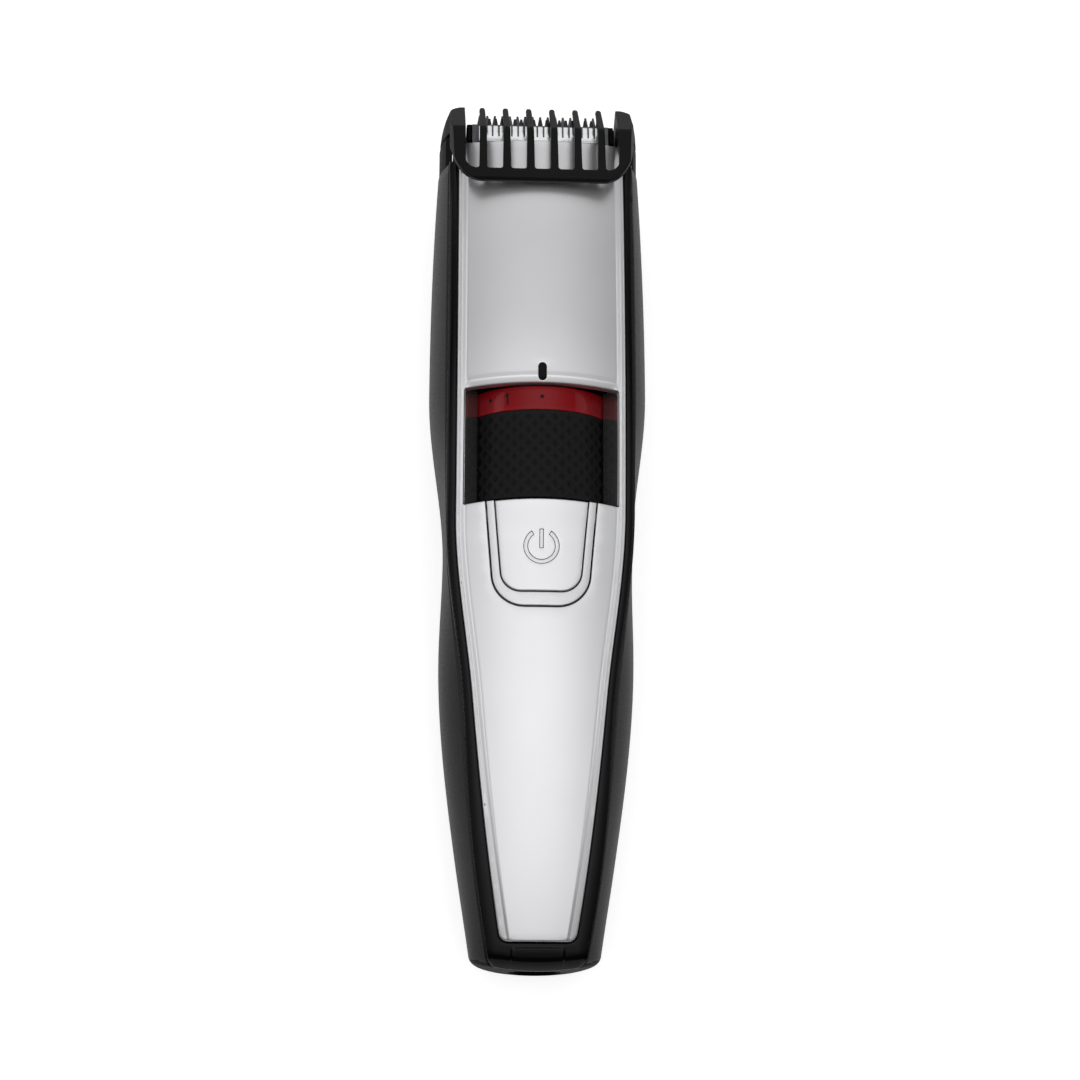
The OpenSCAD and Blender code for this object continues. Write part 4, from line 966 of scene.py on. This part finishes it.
def dial_grip():
    around = cells_round * 16
    angles = np.arange(around) / around * 2 * math.pi
    ss = frange(dial_y + 0.3, scale_lo[1] - 0.06, 0.19)
    a, s = np.meshgrid(angles, ss, indexing="ij")
    r = dial_r + knurl(a, s)
    edge = np.array([(dial_y, drum_r), (dial_y, dial_r - 0.55), (dial_y + 0.1, dial_r - 0.3)])
    head = np.array([(scale_lo[1], dial_r - 0.2), (scale_lo[1], drum_r)])
    ring_s = np.concatenate([np.broadcast_to(edge[:, 0], (around, 3)), s,
                             np.broadcast_to(head[:, 0], (around, 2))], 1)
    ring_r = np.concatenate([np.broadcast_to(edge[:, 1], (around, 3)), r,
                             np.broadcast_to(head[:, 1], (around, 2))], 1)
    wide = angles[:, None]
    points = np.stack([ring_r * np.sin(wide), ring_s, axis_z + ring_r * np.cos(wide)], 2).reshape(-1, 3)
    return replace_node("dial_grip", points, ring_faces(around, ring_s.shape[1]), sharp=70)


def dial_scale_ring():
    s0, s1 = scale_lo[1] + 0.02, scale_hi[1]
    profile = [(s0, drum_r), (s0, dial_r - 0.12), (s0 + 0.04, dial_r - 0.04), (s0 + 0.12, dial_r)]
    profile += [(s, dial_r) for s in frange(s0 + 0.8, s1 - 0.8, 0.8)]
    profile += [(s1 - 0.3, dial_r), (s1 - 0.1, dial_r - 0.08), (s1, dial_r - 0.28), (s1, drum_r)]
    points, faces = lathe(profile, 192)
    return replace_node("dial_scale_ring", points, faces, sharp=50)


# Strokes of plain figures in a box one wide and two high

FIGURES = {
    1: [[(0.2, 1.55), (0.55, 2), (0.55, 0)]],
    2: [[(0, 1.5), (0.1, 1.85), (0.5, 2), (0.9, 1.85), (1, 1.5), (0.9, 1.15), (0, 0), (1, 0)]],
    3: [[(0.05, 1.75), (0.3, 2), (0.75, 1.97), (0.95, 1.7), (0.9, 1.3), (0.45, 1.1), (0.92, 0.9), (1, 0.5),
         (0.8, 0.08), (0.3, 0), (0, 0.3)]],
    4: [[(0.72, 0), (0.72, 2), (0, 0.6), (1, 0.6)]],
    5: [[(0.92, 2), (0.15, 2), (0.08, 1.1), (0.5, 1.25), (0.9, 1.05), (1, 0.6), (0.85, 0.12), (0.4, 0),
         (0, 0.22)]],
    6: [[(0.9, 1.8), (0.55, 2), (0.15, 1.7), (0, 0.8), (0.15, 0.15), (0.5, 0), (0.9, 0.2), (1, 0.6),
         (0.85, 1.0), (0.5, 1.15), (0.1, 0.85)]],
    7: [[(0, 2), (1, 2), (0.4, 0)]],
}
mark_pitch = 42
figure_lag = 27
figure_size = 1.12
stroke_w = 0.42
mark_rise = 0.03
dot_r = 0.42
dot_shift = 0.25


def scale_marks():
    """Dots and figures printed on the scale ring, which count up to the left of the pointer"""
    points, faces = [], []
    raise_r = dial_r + mark_rise

    def put(u, v, turn):
        a = math.radians(turn) + u / dial_r
        points.append((raise_r * math.sin(a), v, axis_z + raise_r * math.cos(a)))
        return len(points) - 1

    def stroke(line, turn, v0):
        for (x0, y0), (x1, y1) in zip(line, line[1:]):
            d = math.dist((x0, y0), (x1, y1))
            nx, ny = -(y1 - y0) / d * stroke_w / 2, (x1 - x0) / d * stroke_w / 2
            px, py = (x1 - x0) / d * stroke_w * 0.35, (y1 - y0) / d * stroke_w * 0.35
            corners = [(x0 - px + nx, y0 - py + ny), (x0 - px - nx, y0 - py - ny),
                       (x1 + px - nx, y1 + py - ny), (x1 + px + nx, y1 + py + ny)]
            faces.append(tuple(put(x, v0 + y, turn) for x, y in corners))

    middle = (scale_lo[1] + scale_hi[1]) / 2
    for n in range(8):
        turn = -n * mark_pitch
        faces.append(tuple(put(dot_r * math.cos(t), middle + dot_shift + dot_r * math.sin(t), turn)
                           for t in np.linspace(0, 2 * math.pi, 20, endpoint=False)))
        if n + 1 in FIGURES:
            for line in FIGURES[n + 1]:
                scaled = [((x - 0.5) * figure_size, (y - 1) * figure_size) for x, y in line]
                stroke(scaled, turn - figure_lag, middle)
    return add_piece("scale_marks", points, faces, "component_black", "dial")


# Moving blade, drawn flat as (x, v) with v = 0 at its teeth's tips and tilted into place

blade_t = 0.5
blade_slot = 0.32
slot_l = 4.5
blade_pitch = 1.38
blade_rear = 5.7
root_half = 0.52
tip_half = 0.23
tongue_half = 4
tongue_rear = 8.9


def moving_blade():
    """Plate with tapered teeth, a saw cut between each two of them and a tongue at its rear"""
    half = (moving_hi[0] - moving_lo[0]) / 2
    count = int((2 * half - 0.2) / blade_pitch)
    outline = [(half, -blade_rear), (half, -moving_teeth)]
    for i in range(count):
        x = ((count - 1) / 2 - i) * blade_pitch
        outline += [(x + root_half, -moving_teeth), (x + tip_half, 0), (x - tip_half, 0),
                    (x - root_half, -moving_teeth)]
        if i < count - 1:
            cut = x - blade_pitch / 2
            outline += [(cut + blade_slot / 2, -moving_teeth - 0.2), (cut + blade_slot / 2, -slot_l),
                        (cut - blade_slot / 2, -slot_l), (cut - blade_slot / 2, -moving_teeth - 0.2)]
    outline += [(-half, -moving_teeth), (-half, -blade_rear), (-tongue_half, -blade_rear),
                (-tongue_half, -tongue_rear), (tongue_half, -tongue_rear), (tongue_half, -blade_rear)]
    points, faces = sheet([densify(outline, 1.5)], even(0.0), even(blade_t), [(0.03, 0.03)], 1.2, None, 2)
    x, v, z = points.T
    lean, rise = math.cos(blade_tilt), math.sin(blade_tilt)
    top_z = moving_hi[2] - tongue_rear * rise
    placed = np.column_stack([x, moving_hi[1] + v * lean + z * rise, top_z - v * rise + z * lean])
    return replace_node("moving_blade", placed, faces)


# Button and its trim

button_rise = 0.22
bezel_rise = 0.1
button_t = 2.2


def button_top(x, s):
    return crown_z(x, s) + button_rise


def bezel_top(x, s):
    return crown_z(x, s) + bezel_rise


def button_bezel():
    top = window_y0 - seam
    outer = trim_side(bezel_w - 0.02, top, trim_deep)
    inner = trim_side(shut_gap, top)
    loop = arched(densify(outer[::-1] + inner, 0.7))
    points, faces = sheet([loop], bezel_top, even(button_t), [(0.18, 0.2)], 0.8)
    bezel = replace_node("button_bezel", points, faces)
    bezel.data.materials[0] = materials["trim_silver"]
    return bezel


symbol_r = 3.65
symbol_t = 0.8
symbol_s = button_y0 + 9.3
symbol_gap = 34
symbol_shrink = 0.03
symbol_sink = 0.03
symbol_deep = 0.8


def ring_symbol(grow):
    """Open ring of the power sign, drawn counter-clockwise"""
    outer, inner = symbol_r + grow, symbol_r - symbol_t - grow
    cut = symbol_gap - math.degrees(grow / symbol_r)
    ring = arc(0, symbol_s, outer, 90 + cut, 450 - cut, 60)
    return ring + arc(0, symbol_s, inner, 450 - cut, 90 + cut, 50)


def bar_symbol(grow):
    w = symbol_t * 0.45 + grow
    s0, s1 = symbol_s - 0.4 - grow, symbol_s + symbol_r - 0.2 + grow
    return [(-w, s0), (w, s0), (w, s1), (-w, s1)]


def power_button():
    outer = arched(densify(trim_side(-0.02, window_y0 - 0.25)[::-1], 0.7))
    holes = [densify(shape(0.07)[::-1], 0.25) for shape in (ring_symbol, bar_symbol)]
    rims = [(0.28, 0.3), (0.04, 0.05), (0.04, 0.05)]
    points, faces = sheet([outer] + holes, button_top, even(button_t), rims, 0.8)
    return replace_node("power_button", points, faces)


def power_symbol():
    points, faces = [], []
    for shape in (ring_symbol, bar_symbol):
        p, f = sheet([densify(shape(-symbol_shrink), 0.25)], lambda x, s: button_top(x, s) - symbol_sink,
                     even(symbol_deep), [(0.04, 0.05)], 0.4, None, 3)
        start = sum(len(q) for q in points)
        points.append(p)
        faces += [tuple(start + v for v in face) for face in f]
    symbol = replace_node("power_symbol", np.vstack(points), faces)
    symbol.data.materials[0] = materials["trim_silver"]
    return symbol


front_panel()
pointer_mark()
front_frame()
back_shell()
dial_well()
dial_grip()
dial_scale_ring()
scale_marks()
moving_blade()
button_bezel()
power_button()
power_symbol()

# The other nodes keep their shapes and get the materials of their slots

for part in frame["record"]["subparts"]:
    obj = bpy.data.objects.get(part["node"])
    if obj is None:
        continue
    obj.data.materials.clear()
    obj.data.materials.append(materials[part["material_slot"]])
# the blade holder takes the black painted darker as shade
bpy.data.objects["blade_holder"].data.materials[0] = materials["painted_shade_black"]
# the fixed blade gets the steel painted dark as shade
bpy.data.objects["fixed_blade"].data.materials[0] = materials["shade_painted_steel"]


def soften(node, voxel, rounds, keep):
    """Round the edges of a moulding"""
    obj = bpy.data.objects[node]
    remesh = obj.modifiers.new("skin", "REMESH")
    remesh.mode = "VOXEL"
    remesh.voxel_size = voxel * MM
    remesh.use_smooth_shade = True
    smooth = obj.modifiers.new("round", "SMOOTH")
    smooth.factor = 0.5
    smooth.iterations = rounds
    thin = obj.modifiers.new("thin", "DECIMATE")
    thin.ratio = keep


soften("comb", 0.15, 6, 0.3)
soften("blade_holder", 0.2, 4, 0.3)

# Floor, camera and light

FLOOR_SHADE = (0.75, 0.75, 0.75)
FLOOR_LIFT = 0.68
floor_mesh = bpy.data.meshes.new("floor")
floor_half = 1.5
floor_z = cad_box[0].z
floor_corners = [(a * floor_half, b * floor_half, floor_z) for a, b in ((-1, -1), (1, -1), (1, 1), (-1, 1))]
floor_mesh.from_pydata(floor_corners, [], [(0, 1, 2, 3)])
floor = bpy.data.objects.new("floor", floor_mesh)
scene.collection.objects.link(floor)
floor_tree, floor_bsdf, floor_coords = shader("floor_paper", FLOOR_SHADE, 0.8, specular=0.0)
relief(floor_tree, floor_bsdf, noise(floor_tree, floor_coords, 900, 2), 0.00001)
floor_bsdf.inputs["Emission Color"].default_value = (1, 1, 1, 1)
floor_path = floor_tree.nodes.new("ShaderNodeLightPath")
floor_lift = product(floor_tree, floor_path.outputs["Is Camera Ray"], FLOOR_LIFT)
floor_tree.links.new(floor_lift, floor_bsdf.inputs["Emission Strength"])
floor_mesh.materials.append(materials["floor_paper"])

camera_data = bpy.data.cameras.new("camera")
camera = bpy.data.objects.new("camera", camera_data)
scene.collection.objects.link(camera)
image_size = 1080
focal_pixels = 2700
camera_data.sensor_fit = "HORIZONTAL"
camera_data.sensor_width = 36
camera_data.lens = focal_pixels / image_size * camera_data.sensor_width
camera_data.clip_end = 10
yaw = math.radians(3.25)
pitch = math.radians(13.3)
roll = math.radians(0.17)
distance = 553
aim = Vector((-0.41, -6.34, 36)) * MM
back = Vector((-math.sin(yaw) * math.cos(pitch), -math.sin(pitch), math.cos(yaw) * math.cos(pitch)))
right = Vector((0, 1, 0)).cross(back).normalized()
up = back.cross(right)
tilt_right = right * math.cos(roll) + up * math.sin(roll)
tilt_up = up * math.cos(roll) - right * math.sin(roll)
turn = Matrix((tilt_right, tilt_up, back)).transposed().to_4x4()
camera.matrix_world = Matrix.Translation(aim + back * distance * MM) @ turn
scene.camera = camera


# Level of the dome by angle from straight up, towards the cutter, and its fade towards the sides

DOME_LEVELS = [(-64, 0.06), (-48, 0.35), (-32, 0.8), (-16, 1.08), (0, 1.4), (11, 1.42), (28, 0.42), (46, 1.0),
               (62, 0.95), (88, 0.35)]
DOME_TAIL = 0.05
DOME_PEAK = 1.45
DOME_EDGE = 0.8
DOME_LEFT = 0.36
DOME_RIGHT = 0.27
LAMP_AIM = (0, 0.2, 0.02)
PANEL_SIZE = (0.9, 0.3)


def area_light(name, place, target, size, power):
    data = bpy.data.lights.new(name, "AREA")
    data.shape = "RECTANGLE"
    data.size, data.size_y = size
    data.energy = power
    light = bpy.data.objects.new(name, data)
    scene.collection.objects.link(light)
    light.location = place
    aim_at = Vector(target) - Vector(place)
    light.rotation_euler = aim_at.to_track_quat("-Z", "Y").to_euler()
    return light


def studio_dome():
    """White dome: brightest overhead, greyer towards the cutter and dark towards the tail and the sides"""
    world = bpy.data.worlds.new("studio")
    scene.world = world
    world.use_nodes = True
    tree = world.node_tree
    sky = tree.nodes["Background"]
    sky.inputs["Color"].default_value = (1, 1, 1, 1)
    direction = tree.nodes.new("ShaderNodeSeparateXYZ")
    tree.links.new(tree.nodes.new("ShaderNodeTexCoord").outputs["Generated"], direction.inputs[0])
    angle = tree.nodes.new("ShaderNodeMath")
    angle.operation = "ARCTAN2"
    tree.links.new(direction.outputs["Y"], angle.inputs[0])
    tree.links.new(direction.outputs["Z"], angle.inputs[1])
    share = tree.nodes.new("ShaderNodeMapRange")
    share.inputs["From Min"].default_value = -math.pi / 2
    share.inputs["From Max"].default_value = math.pi / 2
    tree.links.new(angle.outputs["Value"], share.inputs["Value"])
    ramp = tree.nodes.new("ShaderNodeValToRGB").color_ramp
    ramp_node = tree.nodes[-1]
    ramp.interpolation = "EASE"
    stops = ramp.elements
    while len(stops) > 1:
        stops.remove(stops[-1])
    stops[0].position = 0
    stops[0].color = (DOME_TAIL, DOME_TAIL, DOME_TAIL, 1)
    for degrees, strength in DOME_LEVELS:
        shade = strength / DOME_PEAK
        stops.new(0.5 + degrees / 180).color = (shade, shade, shade, 1)
    tree.links.new(share.outputs["Result"], ramp_node.inputs["Fac"])
    sides = []
    for edge, low in ((-DOME_EDGE, DOME_LEFT), (DOME_EDGE, DOME_RIGHT)):
        fade = tree.nodes.new("ShaderNodeMapRange")
        fade.interpolation_type = "SMOOTHSTEP"
        fade.inputs["From Min"].default_value = edge / 8
        fade.inputs["From Max"].default_value = edge
        fade.inputs["To Min"].default_value = 1
        fade.inputs["To Max"].default_value = low
        tree.links.new(direction.outputs["X"], fade.inputs["Value"])
        sides.append(fade.outputs["Result"])
    level = product(tree, ramp_node.outputs["Color"], DOME_PEAK)
    for side in sides:
        level = product(tree, level, side)
    seen = tree.nodes.new("ShaderNodeMix")
    seen.data_type = "FLOAT"
    seen.inputs["B"].default_value = 1
    tree.links.new(tree.nodes.new("ShaderNodeLightPath").outputs["Is Camera Ray"], seen.inputs["Factor"])
    tree.links.new(level, seen.inputs["A"])
    tree.links.new(seen.outputs["Result"], sky.inputs["Strength"])


studio_dome()
area_light("right_strip", (0.85, 0.2, 0.2), LAMP_AIM, (0.8, 0.03), 0.4)
area_light("left_panel", (-0.82, 0.2, 0.38), LAMP_AIM, PANEL_SIZE, 0.9)
area_light("right_panel", (0.82, 0.2, 0.38), LAMP_AIM, PANEL_SIZE, 0.5)
scene.view_settings.view_transform = "Standard"
